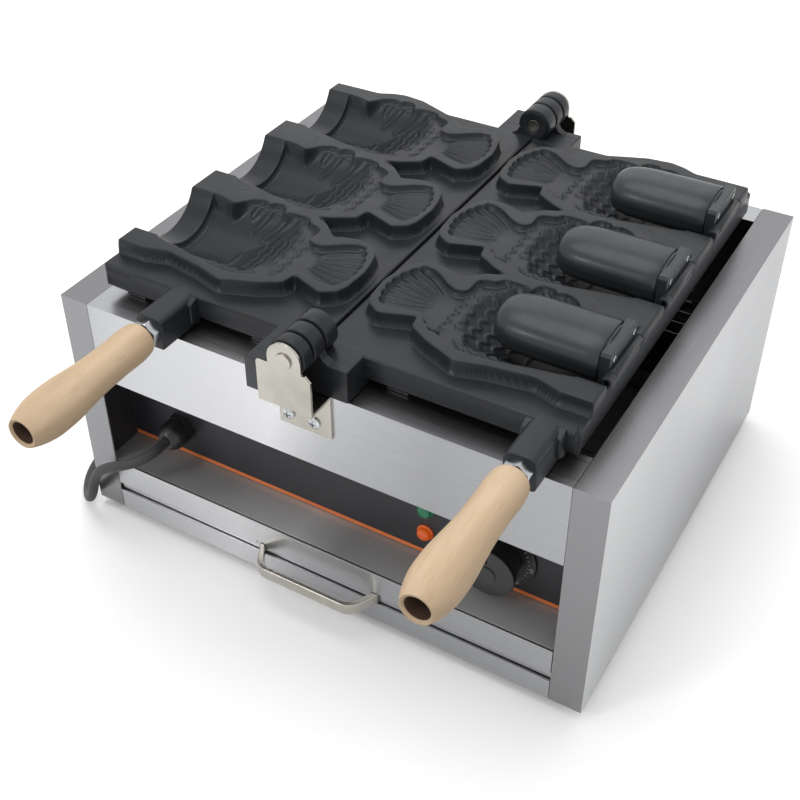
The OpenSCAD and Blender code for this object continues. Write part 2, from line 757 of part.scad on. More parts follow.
// Outline of the raised rim round it
fish_outer = [[183, 47], [160, 48], [138, 47.5], [128, 52], [118, 55], [104, 53],
    [90, 49.5], [76, 44.5], [64, 38.5], [54, 31], [50, 26], [42, 30], [32, 32.5],
    [21, 30.5], [13.5, 22], [9.5, 9], [7.5, -6], [8, -20], [12.5, -29.5], [22, -35],
    [34, -33.5], [44, -29.5], [49, -32], [54, -39.5], [64, -45.5], [76, -51],
    [87, -55], [98, -54.5], [110, -52], [124, -51], [134, -48], [141, -46.5],
    [151, -50.5], [166, -48.5], [183, -47]];

function fitted(points) = [for (p = points) [p[0] * fish_fit[0], p[1] * fish_fit[1]]];
module fish_shape(points) { polygon(curve(fitted(points), 2)); }

belly_x = 126 * fish_fit[0];
// Radii of the bowl: its tail end towards the fins, and its section from back to belly
belly_r = 80;
flank_r = 42;

// Space of one hollow, with its floor raised by lift: a bowl for the body, and a
// shallow floor for the tail and the fins
module fish_space(lift) {
    intersection() {
        translate([0, 0, plate_z]) linear_extrude(60) fish_shape(fish_inner);
        union() {
            intersection() {
                union() {
                    translate([belly_x, 0, rim_z - belly_depth + belly_r])
                        sphere(r = belly_r - lift, $fn = 96);
                    translate([belly_x, -60, rim_z - belly_depth + lift])
                        cube([mould_w, 120, 60]);
                }
                translate([0, 0, rim_z - belly_depth + flank_r]) rotate([0, 90, 0])
                    cylinder(r = flank_r - lift, h = mould_w + 1, $fn = 96);
            }
            translate([0, -60, rim_z - tail_depth + lift]) cube([mould_w + 1, 120, 40]);
        }
    }
}

// Bars of the back fin, from the body outwards
back_bars = [[[124, 34], [115, 45]], [[120, 26], [104, 44]], [[108, 24], [94, 38]],
    [[96, 22], [86, 34]]];

// Ribs of the tail and the back fin, the gill and the scales, seen from above
module fish_marks() {
    for (i = [-3 : 3])
        at_fish(58, -4) rotate(172 + i * 11) translate([11, 0]) rib(28 - abs(i), 2.4);
    for (bar = back_bars)
        let (d = bar[1] - bar[0])
            at_fish(bar[0][0], bar[0][1]) rotate(atan2(d[1], d[0])) rib(norm(d), 3);
    for (i = [0 : 2])
        at_fish(84 + i * 10, -34) rotate(165 + i * 6) rib(14, 2);
    at_fish(136, -2) intersection() {
        difference() { circle(r = 27); circle(r = 24.8); }
        translate([-30, -22]) square([18, 44]);
    }
    for (row = [0 : 3], i = [0 : 3 - row % 2])
        at_fish(68 + row * 9.5, -17 + i * 11 + (row % 2) * 5.5) scale_mark();
}

module at_fish(x, y) { translate([x * fish_fit[0], y * fish_fit[1]]) children(); }

module rib(l, w) {
    circle(r = w / 2, $fn = 16);
    translate([0, -w / 2]) square([l, w]);
    translate([l, 0]) circle(r = w / 2, $fn = 16);
}

// One scale is the outer half of a ring
module scale_mark() {
    intersection() {
        difference() { circle(r = 5.8, $fn = 32); circle(r = 4.4, $fn = 32); }
        translate([-6, -6]) square([6.4, 12]);
    }
}

module fish_hollow() {
    difference() {
        fish_space(0);
        difference() {
            translate([0, 0, plate_z]) linear_extrude(60) fish_marks();
            fish_space(relief_h);
        }
    }
}

// One half of the mould on the right of the middle line. own and other are the
// knuckle numbers of this half and of its partner.
module mould_half(own, other, lug_front, handle_x) {
    difference() {
        union() {
            mould_plate();
            translate([0, 0, deck_z - eps]) linear_extrude(rim_h + eps - joint_gap / 2)
                intersection() {
                    union() for (y = fish_y) translate([0, y]) fish_shape(fish_outer);
                    translate([0, mould_front]) square([mould_w, mould_d]);
                }
            heater_block();
            front_and_rear() hinge_lug(own, lug_front);
            handle_boss(handle_x);
            front_rest();
        }
        for (y = fish_y) translate([0, y, 0]) {
            fish_hollow();
            mouth_cut();
        }
        front_and_rear() for (k = other)
            rod_y(0, axis_z, knuckles[k][0] - 0.4, knuckles[k][1] + 0.4, knuckle_r + 0.7, 64);
        front_and_rear() rod_y(0, axis_z, bracket_front, knuckles[2][1] + 0.5,
            pin_r + run_gap);
        rod_y(handle_x, handle_z, boss_front - 1, 6, rod_r);
        heater_pocket();
    }
}

// Deck plate with chamfered lower edges
module mould_plate() {
    c = plate_chamfer;
    intersection() {
        along_y(mould_front - 1, mould_back + 1)
            polygon([[seam, plate_z], [mould_w - c, plate_z], [mould_w, plate_z + c],
                [mould_w, deck_z], [seam, deck_z]]);
        along_x(0, mould_w + 1)
            polygon([[mould_front + c, plate_z], [mould_back - c, plate_z],
                [mould_back, plate_z + c], [mould_back, deck_z], [mould_front, deck_z],
                [mould_front, plate_z + c]]);
    }
}

module heater_block() {
    c = 5;
    along_y(mould_front + 17, mould_back - 13)
        polygon([[8, plate_z + eps], [8, block_z + c], [8 + c, block_z],
            [mould_w - 15.5 - c, block_z], [mould_w - 15.5, block_z + c],
            [mould_w - 15.5, plate_z + eps]]);
}

// Hollow under the cover for the heating element
module heater_pocket() {
    box([22, mould_front + 33, block_z - 1],
        [mould_w - 30, mould_back - 29, block_z + 9]);
    for (x = [15, mould_w - 23], y = [mould_front + 27, mould_mid, mould_back - 23])
        translate([x, y, block_z - 1]) cylinder(r = 1.9, h = 9, $fn = 24);
}

// Pads that rest on the cabinet's front fold and on its back flange
module front_rest() {
    gap = clear;
    for (x = [45, mould_w - 28])
        box([x, mould_front + plate_chamfer + eps, cab_top + gap],
            [x + 16, fascia_fold - 0.6, plate_z + eps]);
    box([6, opening_back + 3, cab_top + gap], [lug_w - 4, cab_d - 5, plate_z - 1 + eps]);
}

// Lug with its knuckles, the pin's bore is cut later
module hinge_lug(own, lug_front) {
    low = plate_z - 1;
    box([seam, lug_front, low], [lug_w, mould_front + 8, deck_z]);
    for (k = own) {
        y0 = knuckles[k][0];
        y1 = knuckles[k][1];
        rod_y(0, axis_z, y0, y1, knuckle_r, 64);
        along_y(max(y0, lug_front), y1) polygon([[seam, deck_z - 1], [seam, axis_z - 8],
            [knuckle_r - 1, axis_z - 1], [knuckle_r + 6, deck_z], [knuckle_r + 6, deck_z - 1]]);
    }
}

module handle_boss(x) {
    low = plate_z - 1;
    half = 11;
    along_y(boss_front, mould_front + 8) {
        difference() {
            translate([x - half, low]) square([2 * half, deck_z - low]);
            for (side = [-1, 1])
                translate([x + side * half, deck_z]) rotate(45) square(8, center = true);
        }
    }
    along_x(x - half - 2.5, x + half + 2.5)
        polygon([[mould_front + 1, low + 1], [mould_front - 7, low + 6],
            [mould_front - 7, deck_z - 4], [mould_front + 1, deck_z]]);
}

// Round mouth through the rim
module mouth_cut() {
    translate([saddle_x, 0, saddle_z]) rotate([0, 90, 0])
        cylinder(r = saddle_r, h = 40, $fn = 96);
}

module left_mould() {
    color("#3b3c3f") stand() mirror([1, 0, 0])
        mould_half([0, 2], [1], knuckles[0][0] + 1, left_handle_x);
}

module right_mould() {
    color("#3b3c3f") stand() {
        mould_half([1], [0, 2], right_lug_front, right_handle_x);
        for (y = fish_y) translate([0, y, 0]) core_seat();
    }
}

// Wall across the foot of a mouth and two ears that hold the core's pin
module core_seat() {
    wall_x = mould_w - wall_t;
    top = core_pin_z - core_knuckle_r - clear;
    intersection() {
        box([wall_x, -mouth_w - 2, plate_z + plate_chamfer + 4],
            [mould_w, mouth_w + 2, top]);
        translate([wall_x - 1, 0, saddle_z]) rotate([0, 90, 0])
            cylinder(r = saddle_r + 1, h = 10, $fn = 96);
    }
    for (side = [0, 1]) mirror([0, side, 0]) difference() {
        union() {
            box([wall_x, core_plate_w + 0.4, top - 8],
                [mould_w, core_plate_w + 0.4 + ear_w, core_pin_z]);
            translate([0, core_plate_w + 0.4, 0])
                rod_y(core_pin_x, core_pin_z, 0, ear_w, core_knuckle_r);
        }
        rod_y(core_pin_x, core_pin_z, core_plate_w - 1, core_plate_w + 2 + ear_w, core_pin_r);
    }
}

// Mouth cores

// Sections of a core from its nose, as shares of its length and of its full section
core_sections = [[0, 0.35], [0.01, 0.5], [0.03, 0.64], [0.06, 0.75], [0.1, 0.84],
    [0.16, 0.915], [0.24, 0.965], [0.34, 0.99], [0.5, 1], [1, 1]];

module core_body(from, to) {
    ring = oval(core_w, core_h, 2.4, 0, 345, 23);
    n = len(ring);
    m = len(core_sections);
    skin = [for (s = core_sections, p = ring)
        [from + (to - from) * s[0], p[0] * s[1], p[1] * (0.35 * s[1] + 0.65 * sqrt(s[1]))]];
    polyhedron(points = skin, faces = concat(
        [for (i = [0 : m - 2], k = [0 : n - 1], half = [0, 1])
            let (a = i * n + k, b = i * n + (k + 1) % n)
            half == 0 ? [a, b + n, b] : [a, a + n, b + n]],
        [[for (k = [0 : n - 1]) k]],
        [[for (k = [n - 1 : -1 : 0]) (m - 1) * n + k]]), convexity = 4);
}

module core(number) {
    plate_x = core_face_x - core_plate_t;
    color("#45484a") stand() translate([0, fish_y[number], 0]) {
        translate([0, 0, axis_z]) core_body(core_nose_x, plate_x - 0.8);
        difference() {
            union() {
                translate([plate_x - 2, 0, axis_z]) rotate([90, 0, 90])
                    linear_extrude(2.5) polygon(
                        [for (p = oval(core_w, core_h, 2.4, 0, 345, 23)) p * 0.93]);
                intersection() {
                    box([plate_x, -core_plate_w, axis_z - core_h],
                        [core_face_x, core_plate_w, axis_z + core_plate_h]);
                    translate([plate_x - 1, 0, saddle_z]) rotate([0, 90, 0])
                        cylinder(r = saddle_r - 0.5, h = 20, $fn = 96);
                }
                rod_y(core_pin_x, core_pin_z, -core_plate_w, core_plate_w, core_knuckle_r);
                box([core_face_x - 1, -core_plate_w, core_pin_z],
                    [core_pin_x + 1, core_plate_w, core_pin_z + core_knuckle_r - 0.6]);
            }
            rod_y(core_pin_x, core_pin_z, -core_w, core_w, core_pin_r + run_gap);
            for (side = [-1, 1])
                translate([core_face_x - 2.4, side * (core_plate_w - 6), axis_z + 7.4])
                    rotate([0, 90, 0]) cylinder(r = 2.9, h = 5, $fn = 32);
        }
    }
}

module mouth_core_1() { core(0); }
module mouth_core_2() { core(1); }
module mouth_core_3() { core(2); }

module core_pin(number) {
    half = core_plate_w + 0.4 + ear_w;
    color("gainsboro") stand() translate([0, fish_y[number], 0])
        rod_y(core_pin_x, core_pin_z, -half, half, core_pin_r);
}

module core_pin_1() { core_pin(0); }
module core_pin_2() { core_pin(1); }
module core_pin_3() { core_pin(2); }

// Heating elements and their covers

module element() {
    r = 4;
    z = block_z + 4.8;
    legs = [42, mould_w - 50];
    bend = (legs[1] - legs[0]) / 2;
    low = mould_front + 45;
    high = mould_back - 40 - bend;
    for (x = legs) rod_y(x, z, low, high, r, 32);
    translate([legs[0] + bend, high, z]) rotate_extrude(angle = 180, $fn = 64)
        translate([bend, 0]) circle(r = r, $fn = 32);
    for (x = legs) {
        translate([x, low, z]) sphere(r = r, $fn = 32);
        translate([x, low, block_z - 9]) cylinder(r = 2.5, h = z - block_z + 9);
    }
}

module element_cover() {
    difference() {
        box([10, mould_front + 21, block_z - 1.5],
            [mould_w - 18, mould_back - 17, block_z]);
        for (x = [42, mould_w - 50])
            translate([x, mould_front + 45, block_z - 3]) cylinder(r = 4.2, h = 5);
        for (x = [15, mould_w - 23],
            y = [mould_front + 27, mould_mid, mould_back - 23])
            translate([x, y, block_z - 3]) cylinder(r = 1.9, h = 5, $fn = 24);
    }
}

module cover_screws() {
    for (x = [15, mould_w - 23],
        y = [mould_front + 27, mould_mid, mould_back - 23])
        translate([x, y, block_z - 1.5]) mirror([0, 0, 1]) pan_screw(3.8, 2.2, 1.9, 8);
}

module left_heating_element() { color("dimgray") stand() mirror([1, 0, 0]) element(); }
module right_heating_element() { color("dimgray") stand() element(); }
module left_element_cover() { color("silver") stand() mirror([1, 0, 0]) element_cover(); }
module right_element_cover() { color("silver") stand() element_cover(); }
module left_cover_screws() { color("gainsboro") stand() mirror([1, 0, 0]) cover_screws(); }
module right_cover_screws() { color("gainsboro") stand() cover_screws(); }

// Handles

module handle_rod(x) {
    rod_y(x, handle_z, grip_end + 22, 6, rod_r);
}

module handle_nuts(x) {
    for (nut = [[boss_front, nut_flats / 2 / cos(30)], [grip_end + 27, grip_bore_r - 0.6]])
        translate([x, nut[0], handle_z]) rotate([90, 0, 0]) difference() {
            intersection() {
                rotate([0, 0, 20]) cylinder(r = nut[1], h = nut_t, $fn = 6);
                translate([0, 0, nut_t - 15.6]) sphere(r = 16.4, $fn = 64);
            }
            translate([0, 0, -1]) cylinder(r = rod_r, h = nut_t + 2);
        }
}

// Turned grip: shares of the length from the root, with radii as shares of the largest
grip_turning = [[0, 0.62], [0.012, 0.72], [0.05, 0.79], [0.12, 0.82], [0.24, 0.8],
    [0.42, 0.825], [0.58, 0.925], [0.66, 0.98], [0.76, 1], [0.84, 0.975], [0.91, 0.88],
    [0.96, 0.77], [0.99, 0.68], [1, 0.645]];

module handle_grip(x) {
    bore_l = 30;
    translate([x, grip_root, handle_z]) rotate([90, 0, 0]) difference() {
        rotate_extrude($fn = 96) polygon(concat([[0, 0]],
            [for (p = grip_turning) [p[1] * grip_r, p[0] * grip_l]], [[0, grip_l]]));
        translate([0, 0, -1]) cylinder(r = rod_r + 0.2, h = grip_l + 2);
        translate([0, 0, grip_l - bore_l]) cylinder(r = grip_bore_r, h = bore_l + 1, $fn = 64);
        translate([0, 0, grip_l - 1.2]) cylinder(r1 = grip_bore_r, r2 = grip_bore_r + 1.2, h = 1.4, $fn = 64);
    }
}

module left_handle_rod() { color("silver") stand() handle_rod(-left_handle_x); }
module right_handle_rod() { color("silver") stand() handle_rod(right_handle_x); }
module left_handle_nuts() { color("silver") stand() handle_nuts(-left_handle_x); }
module right_handle_nuts() { color("silver") stand() handle_nuts(right_handle_x); }
module left_handle_grip() { color("burlywood") stand() handle_grip(-left_handle_x); }
module right_handle_grip() { color("burlywood") stand() handle_grip(right_handle_x); }

left_side_panel();
right_side_panel();
front_fascia();
back_panel();
base_pan();
recess_floor();
control_panel();
panel_stripe();
control_box();
drawer_runners();
rubber_feet();
cabinet_screws();
thermostat_body();
thermostat_bezel();
thermostat_knob();
power_lamp();
heat_lamp();
terminal_block();
cord_gland();
power_cord();
cord_coil();
cord_tail();
cord_tie();
mains_plug();
crumb_drawer();
drawer_handle();
drawer_handle_screws();
front_hinge_bracket();
rear_hinge_bracket();
bracket_screws();
front_hinge_pin();
rear_hinge_pin();
left_mould();
left_handle_rod();
left_handle_nuts();
left_handle_grip();
left_heating_element();
left_element_cover();
left_cover_screws();
right_mould();
right_handle_rod();
right_handle_nuts();
right_handle_grip();
right_heating_element();
right_element_cover();
right_cover_screws();
mouth_core_1();
mouth_core_2();
mouth_core_3();
core_pin_1();
core_pin_2();
core_pin_3();
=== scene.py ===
import math
import bmesh
import bpy
import numpy as np
from mathutils import Euler, Matrix, Vector


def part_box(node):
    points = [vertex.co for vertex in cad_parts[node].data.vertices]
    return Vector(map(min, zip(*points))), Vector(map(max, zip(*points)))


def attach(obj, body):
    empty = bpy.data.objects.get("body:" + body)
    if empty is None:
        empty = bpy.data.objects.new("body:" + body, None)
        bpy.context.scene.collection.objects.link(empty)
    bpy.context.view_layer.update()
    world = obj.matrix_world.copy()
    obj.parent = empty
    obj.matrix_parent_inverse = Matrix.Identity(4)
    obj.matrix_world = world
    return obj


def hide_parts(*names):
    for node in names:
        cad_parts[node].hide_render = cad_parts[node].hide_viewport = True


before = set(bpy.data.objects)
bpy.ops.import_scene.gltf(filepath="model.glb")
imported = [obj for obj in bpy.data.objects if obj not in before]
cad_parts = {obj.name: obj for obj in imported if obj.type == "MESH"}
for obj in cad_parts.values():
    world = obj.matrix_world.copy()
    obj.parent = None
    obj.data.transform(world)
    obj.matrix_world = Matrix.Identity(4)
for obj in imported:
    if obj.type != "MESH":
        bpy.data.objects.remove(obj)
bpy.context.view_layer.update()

print("frame loaded")

# Everything below is written in millimetres: x from the middle line, y back from the
# cabinet's front and z up from the worktop. spot() turns such a place into the frame's.
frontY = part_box("front_fascia")[0][1] * 1000
hingeZ = 242.0
jointZ = 241.85
deckZ = 231.5
plateZ = 208.0
moldMid = 177.5
fishPlaces = [moldMid + 5 + i * 95.5 for i in (-1, 0, 1)]


def spot(x, y, z):
    return Vector((x, y + frontY, z)) * 0.001


def addObject(name, data):
    # every object stays at the origin, with its place in its mesh; lamps and camera are moved
    thing = bpy.data.objects.new(name, data)
    bpy.context.scene.collection.objects.link(thing)
    return thing


# camera

camera = {"place": (362.4, -507.87, 707.57), "turn": (51.782, 0.466, 30.694),
          "lens": 55.885, "shift": (0.0227, -0.0360)}


def setCamera():
    data = bpy.data.cameras.new("photoCamera")
    data.lens = camera["lens"]
    data.sensor_width = 36
    data.shift_x, data.shift_y = camera["shift"]
    data.clip_start = 0.01
    view = addObject("photoCamera", data)
    view.location = spot(*camera["place"])
    view.rotation_euler = Euler([math.radians(a) for a in camera["turn"]])
    bpy.context.scene.camera = view


setCamera()

# materials


def colour(code):
    # sRGB hex to the linear values that a shader wants
    parts = [int(code[i:i + 2], 16) / 255 for i in (1, 3, 5)]
    return [c / 12.92 if c <= 0.04045 else ((c + 0.055) / 1.055) ** 2.4 for c in parts] + [1.0]


def addNode(tree, kind, sockets=None, links=None, stops=(), **settings):
    # a node with its settings, its fixed inputs, its incoming links and a ramp's colour stops;
    # a mix of two colours has its amount on input 0, the colours on 6 and 7 and gives output 2
    node = tree.nodes.new(kind)
    for key, value in settings.items():
        setattr(node, key, value)
    for key, value in (sockets or {}).items():
        node.inputs[key].default_value = value
    for key, value in (links or {}).items():
        tree.links.new(value, node.inputs[key])
    if stops:
        bar = node.color_ramp.elements
        while len(bar) < len(stops):
            bar.new(0.5)
        for stop, (place, code) in zip(bar, stops):
            stop.position = place
            stop.color = colour(code)
    return node


def newMaterial(name, base, rough, metal=0.0, **sockets):
    # a Principled shader on its own, which the finish below it builds on
    material = bpy.data.materials.new(name)
    material.use_nodes = True
    tree = material.node_tree
    shader = tree.nodes["Principled BSDF"]
    shader.inputs["Base Color"].default_value = colour(base)
    shader.inputs["Roughness"].default_value = rough
    shader.inputs["Metallic"].default_value = metal
    for key, value in sockets.items():
        shader.inputs[key.replace("_", " ")].default_value = value
    return material, tree, shader


def drift(tree, cycles, detail=3.0, rough=0.55, ranges=()):
    # a pattern that drifts through the piece, in cycles per metre along each of its axes: the
    # noise itself, and one output for each (low, high) range that its 0.3 to 0.7 is spread to
    where = addNode(tree, "ShaderNodeTexCoord").outputs["Object"]
    scaled = addNode(tree, "ShaderNodeMapping", {"Scale": cycles}, {"Vector": where})
    noise = addNode(tree, "ShaderNodeTexNoise",
                    {"Scale": 1.0, "Detail": detail, "Roughness": rough},
                    {"Vector": scaled.outputs[0]}).outputs["Fac"]
    return [noise] + [addNode(tree, "ShaderNodeMapRange", {
        "From Min": 0.3, "From Max": 0.7, "To Min": low, "To Max": high},
        {"Value": noise}).outputs[0] for low, high in ranges]


def addRelief(tree, shader, layers):
    # fine relief in the surface; each (height, depth in mm, strength) lies on the one before
    under = {}
    for height, depth, strength in layers:
        layer = addNode(tree, "ShaderNodeBump", {"Distance": depth * 0.001, "Strength": strength},
                        {"Height": height, **under})
        under = {"Normal": layer.outputs[0]}
        tree.links.new(layer.outputs[0], shader.inputs["Normal"])


def makeFinish(name, base, tones, roughness, cloud, reliefs=(), metal=0.0, detail=3.0,
               glossCloud=None, edges=None, **sockets):
    # two close tones and a range of roughness that drift over the piece, with fine relief;
    # clouds are in cycles per metre, and reliefs are (cycles per metre, depth in mm, strength)
    material, tree, shader = newMaterial(name, base, roughness[0], metal, **sockets)
    shade = drift(tree, cloud, detail, ranges=[(0, 1)])[1]
    tone = addNode(tree, "ShaderNodeValToRGB", None, {"Fac": shade},
                   [(0.0, tones[0]), (1.0, tones[1])]).outputs[0]
    if edges:
        # a painted highlight, with a little wear: another tone along its outer edges and crests
        point = addNode(tree, "ShaderNodeNewGeometry").outputs["Pointiness"]
        paintedEdgeHighlight = addNode(tree, "ShaderNodeMapRange", {"From Min": 0.55, "From Max": 0.7},
                       {"Value": point}).outputs[0]
        tone = addNode(tree, "ShaderNodeMix", {7: colour(edges)}, {0: paintedEdgeHighlight, 6: tone},
                       data_type="RGBA").outputs[2]
    tree.links.new(tone, shader.inputs["Base Color"])
    gloss = drift(tree, glossCloud or cloud, detail, ranges=[roughness])[1]
    tree.links.new(gloss, shader.inputs["Roughness"])
    addRelief(tree, shader, [(drift(tree, (cycles, cycles, cycles), 2)[0], depth, strength)
                             for cycles, depth, strength in reliefs])
    return material


def makeBrushed(name, along, stops, rough=0.3, metal=1.0, facingShade=0.0):
    # stainless sheet brushed along one axis: long fine scratches over broad soft bands of
    # painted reflection, light and dark from side to side; the last argument is how much
    # painted shade, a darker grey, lies on its faces that look up or to the front
    material, tree, shader = newMaterial(name, "#aaabad", rough, metal)
    stretch = [1600.0, 1600.0, 1600.0]
    stretch[along] = 9.0
    lines, light, gloss = drift(tree, stretch, 4, 0.7, [(0, 1), (rough - 0.05, rough + 0.09)])
    scratches = addNode(tree, "ShaderNodeValToRGB", None, {"Fac": light},
                        [(0.0, "#9fa0a2"), (1.0, "#b9babc")]).outputs[0]
    where = addNode(tree, "ShaderNodeSeparateXYZ", None, {
        "Vector": addNode(tree, "ShaderNodeTexCoord").outputs["Object"]}).outputs[along]
    sway = drift(tree, (3, 3, 3), 2, ranges=[(-0.06, 0.06)])[1]
    place = addNode(tree, "ShaderNodeMath", None, {0: where, 1: sway}, operation="ADD").outputs[0]
    halfSheet = 0.23
    across = addNode(tree, "ShaderNodeMapRange", {"From Min": -halfSheet, "From Max": halfSheet},
                     {"Value": place}).outputs[0]
    # painted reflection: broad light and dark bands, laid across the sheet by place
    reflectionBands = addNode(tree, "ShaderNodeValToRGB", None, {"Fac": across}, stops).outputs[0]
    shade = addNode(tree, "ShaderNodeMix", {0: 0.75}, {6: scratches, 7: reflectionBands},
                    data_type="RGBA").outputs[2]
    # painted shade: faces that look up or to the front are mixed towards a darker grey
    if facingShade:
        facing = addNode(tree, "ShaderNodeSeparateXYZ", None, {
            "Vector": addNode(tree, "ShaderNodeNewGeometry").outputs["Normal"]}).outputs
        ahead = addNode(tree, "ShaderNodeMath", {1: -1.0}, {0: facing["Y"]}, operation="MULTIPLY")
        most = addNode(tree, "ShaderNodeMath", None, {0: ahead.outputs[0], 1: facing["Z"]},
                       operation="MAXIMUM").outputs[0]
        facingShadeMask = addNode(tree, "ShaderNodeMapRange", {
            "From Min": 0.8, "From Max": 0.98, "To Max": facingShade}, {"Value": most}).outputs[0]
        shade = addNode(tree, "ShaderNodeMix", {7: colour("#6c6c6e")}, {0: facingShadeMask, 6: shade},
                        data_type="RGBA").outputs[2]
    tree.links.new(shade, shader.inputs["Base Color"])
    tree.links.new(gloss, shader.inputs["Roughness"])
    addRelief(tree, shader, [(lines, 0.008, 0.5)])
    return material


def makeBeech():
    # sanded, unvarnished beech turned along its grain: pale, with faint growth bands and the
    # short dark flecks of its rays, a few tenths wide, drawn 1 mm wide so that they show
    material, tree, shader = newMaterial("sandedBeech", "#dcc09a", 0.66)
    growth, band, gloss = drift(tree, (60, 7, 60), 4, 0.6, [(0, 1), (0.6, 0.72)])
    wood = addNode(tree, "ShaderNodeValToRGB", None, {"Fac": band},
                   [(0.0, "#b49a7e"), (0.5, "#c2a889"), (1.0, "#cfb699")]).outputs[0]
    rays = drift(tree, (520, 70, 520), 2, 0.5)[0]
    fleck = addNode(tree, "ShaderNodeMapRange", {
        "From Min": 0.61, "From Max": 0.74, "To Max": 0.4}, {"Value": rays}).outputs[0]
    wood = addNode(tree, "ShaderNodeMix", {7: colour("#b8936c")}, {0: fleck, 6: wood},
                   data_type="RGBA").outputs[2]
    tree.links.new(wood, shader.inputs["Base Color"])
    tree.links.new(gloss, shader.inputs["Roughness"])
    addRelief(tree, shader, [(growth, 0.08, 0.4), (drift(tree, (900, 60, 900))[0], 0.03, 0.5)])
    return material


def makePlastic(name, base, rough, light, fine=900):
    # moulded plastic with a fine spark-eroded texture, also right for paint, ink and glaze
    return makeFinish(name, base, (base, light), (rough - 0.05, rough + 0.07), (40, 40, 40),
                      [(fine, 0.03, 0.5)])


def makeLens(name, base, glow):
    # moulded translucent lamp lens, lit faintly from behind
    material, tree, shader = newMaterial(name, base, 0.18, 0.0, Transmission_Weight=0.25,
                                         IOR=1.49)
    shader.inputs["Emission Color"].default_value = colour(glow)
    shader.inputs["Emission Strength"].default_value = 0.25
    addRelief(tree, shader, [(drift(tree, (500, 500, 500), 2)[0], 0.05, 0.4)])
    return material


def makeRubber(name, base, light):
    # extruded rubber or woven nylon: dull, with faint dust in its surface
    return makeFinish(name, base, (base, light), (0.5, 0.7), (55, 55, 55), [(1200, 0.03, 0.5)],
                      detail=4)


# sand-cast aluminium under a sprayed non-stick coat: fine orange peel, satin, and a paler
# tone along its edges and rib crests, a painted highlight with a little wear
castCoat = makeFinish("castNonStickCoat", "#232528", ("#1f2124", "#26282b"), (0.29, 0.4),
                      (14, 14, 14), [(260, 0.06, 0.5), (1500, 0.02, 0.6)],
                      glossCloud=(60, 60, 60), edges="#4c4e52", Specular_IOR_Level=0.26)
# the same coat on a polished casting, so smoother and glossier
coreCoat = makeFinish("coreNonStickCoat", "#2f3235", ("#26292c", "#303336"), (0.26, 0.36),
                      (30, 12, 30), [(180, 0.05, 0.4), (1400, 0.012, 0.5)],
                      glossCloud=(90, 90, 90), Specular_IOR_Level=0.34)
# painted reflection: these stops are the light and dark bands across the fascia, base and hoods
sheetAcross = makeBrushed("stainlessBrushedAcross", 0, [
    (0.0, "#adaeb0"), (0.16, "#c4c5c7"), (0.4, "#e2e2e4"), (0.52, "#b4b5b7"), (0.7, "#97989a"),
    (1.0, "#a3a4a6")])
# painted reflection, light at the start of the sheet and darker towards its end, with painted shade
# on faces that look up or to the front
sheetBack = makeBrushed("stainlessBrushedFrontToBack", 1, [
    (0.0, "#d4d5d7"), (0.3, "#cbcccd"), (0.7, "#9fa0a2"), (1.0, "#929395")], facingShade=0.75)
# painted reflection: a bright band in the middle of the recess sheet
sheetRecess = makeBrushed("stainlessRecessSheet", 0, [
    (0.0, "#8f8e8d"), (0.3, "#9b9a99"), (0.5, "#dddcdb"), (0.62, "#a3a2a1"), (1.0, "#b4b3b2")],
    0.42, 0.45)
# cold rolled steel with a smooth, slightly warm nickel plate
nickelSteel = makeFinish("nickelPlatedSteel", "#aeaba2", ("#a5a299", "#b9b6ae"), (0.22, 0.3),
                         (35, 35, 35), metal=1.0)
# bright zinc on screws, nuts, rods and pins: bluer and glossier than nickel
zincPlate = makeFinish("brightZincPlate", "#b9bbbe", ("#a9acb0", "#c4c6c9"), (0.18, 0.28),
                       (60, 60, 60), metal=1.0)
beech = makeBeech()
# the wall of the bored hole: dark brown painted shade, and rough
shadedBoreBeech = makePlastic("shadedBoreBeech", "#3c281d", 0.8, "#4b3426", 300)
# powder coat with a faint orange peel, and a line printed on it
panelPaint = makePlastic("blackPowderCoat", "#232428", 0.45, "#2a2b30", 700)
stripeInk = makePlastic("orangePrintedLine", "#e07a42", 0.5, "#e6844e")
# moulded thermoset for the knob, gland and plug, and a glossier plate with dull print
knobPlastic = makePlastic("blackMouldedKnob", "#18181b", 0.42, "#202023")
dialPlastic = makePlastic("blackDialPlate", "#17171a", 0.35, "#1d1d20")
dialInk = makePlastic("whiteDialInk", "#c9c9c6", 0.6, "#d5d5d2")
greenLens = makeLens("greenLampLens", "#1f7a55", "#146b45")
orangeLens = makeLens("orangeLampLens", "#d9661f", "#cf5510")
leadRubber = makeRubber("rubberLeadSheath", "#2e2f31", "#3b3c3e")
footRubber = makeRubber("blackRubberFoot", "#1c1c1e", "#262628")
strapNylon = makeRubber("wovenStrap", "#1d1d1f", "#29292c")
# hidden inside: brown moulded body, bright glaze, and a sheath dulled by heat
phenolic = makePlastic("brownPhenolic", "#6f4630", 0.4, "#7d5139")
ceramic = makePlastic("glazedCeramic", "#e4e0d6", 0.2, "#ece9e1")
heaterSkin = makePlastic("oxidisedHeaterSheath", "#3d3835", 0.5, "#4c4540", 400)


def mountPiece(piece, body, *nodes):
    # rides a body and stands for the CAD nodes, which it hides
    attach(piece, body)
    if nodes:
        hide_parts(*nodes)
    return piece


print("materials made")

# meshes


def newPiece(name, points, faces, material, smooth=35):
    # a mesh from points in millimetres, with its faces turned outwards
    mesh = bpy.data.meshes.new(name)
    mesh.from_pydata([spot(*p) for p in points], [], faces)
    mesh.validate()
    mesh.materials.append(material)
    piece = addObject(name, mesh)
    settle(piece, smooth)
    return piece


def settle(piece, smooth=35):
    # outward faces, and smooth shading up to that angle
    work = bmesh.new()
    work.from_mesh(piece.data)
    bmesh.ops.remove_doubles(work, verts=work.verts, dist=1e-6)
    bmesh.ops.recalc_face_normals(work, faces=work.faces)
    for face in work.faces:
        face.smooth = True
    for edge in work.edges:
        if len(edge.link_faces) == 2:
            edge.smooth = edge.calc_face_angle(0) < math.radians(smooth)
    work.to_mesh(piece.data)
    work.free()


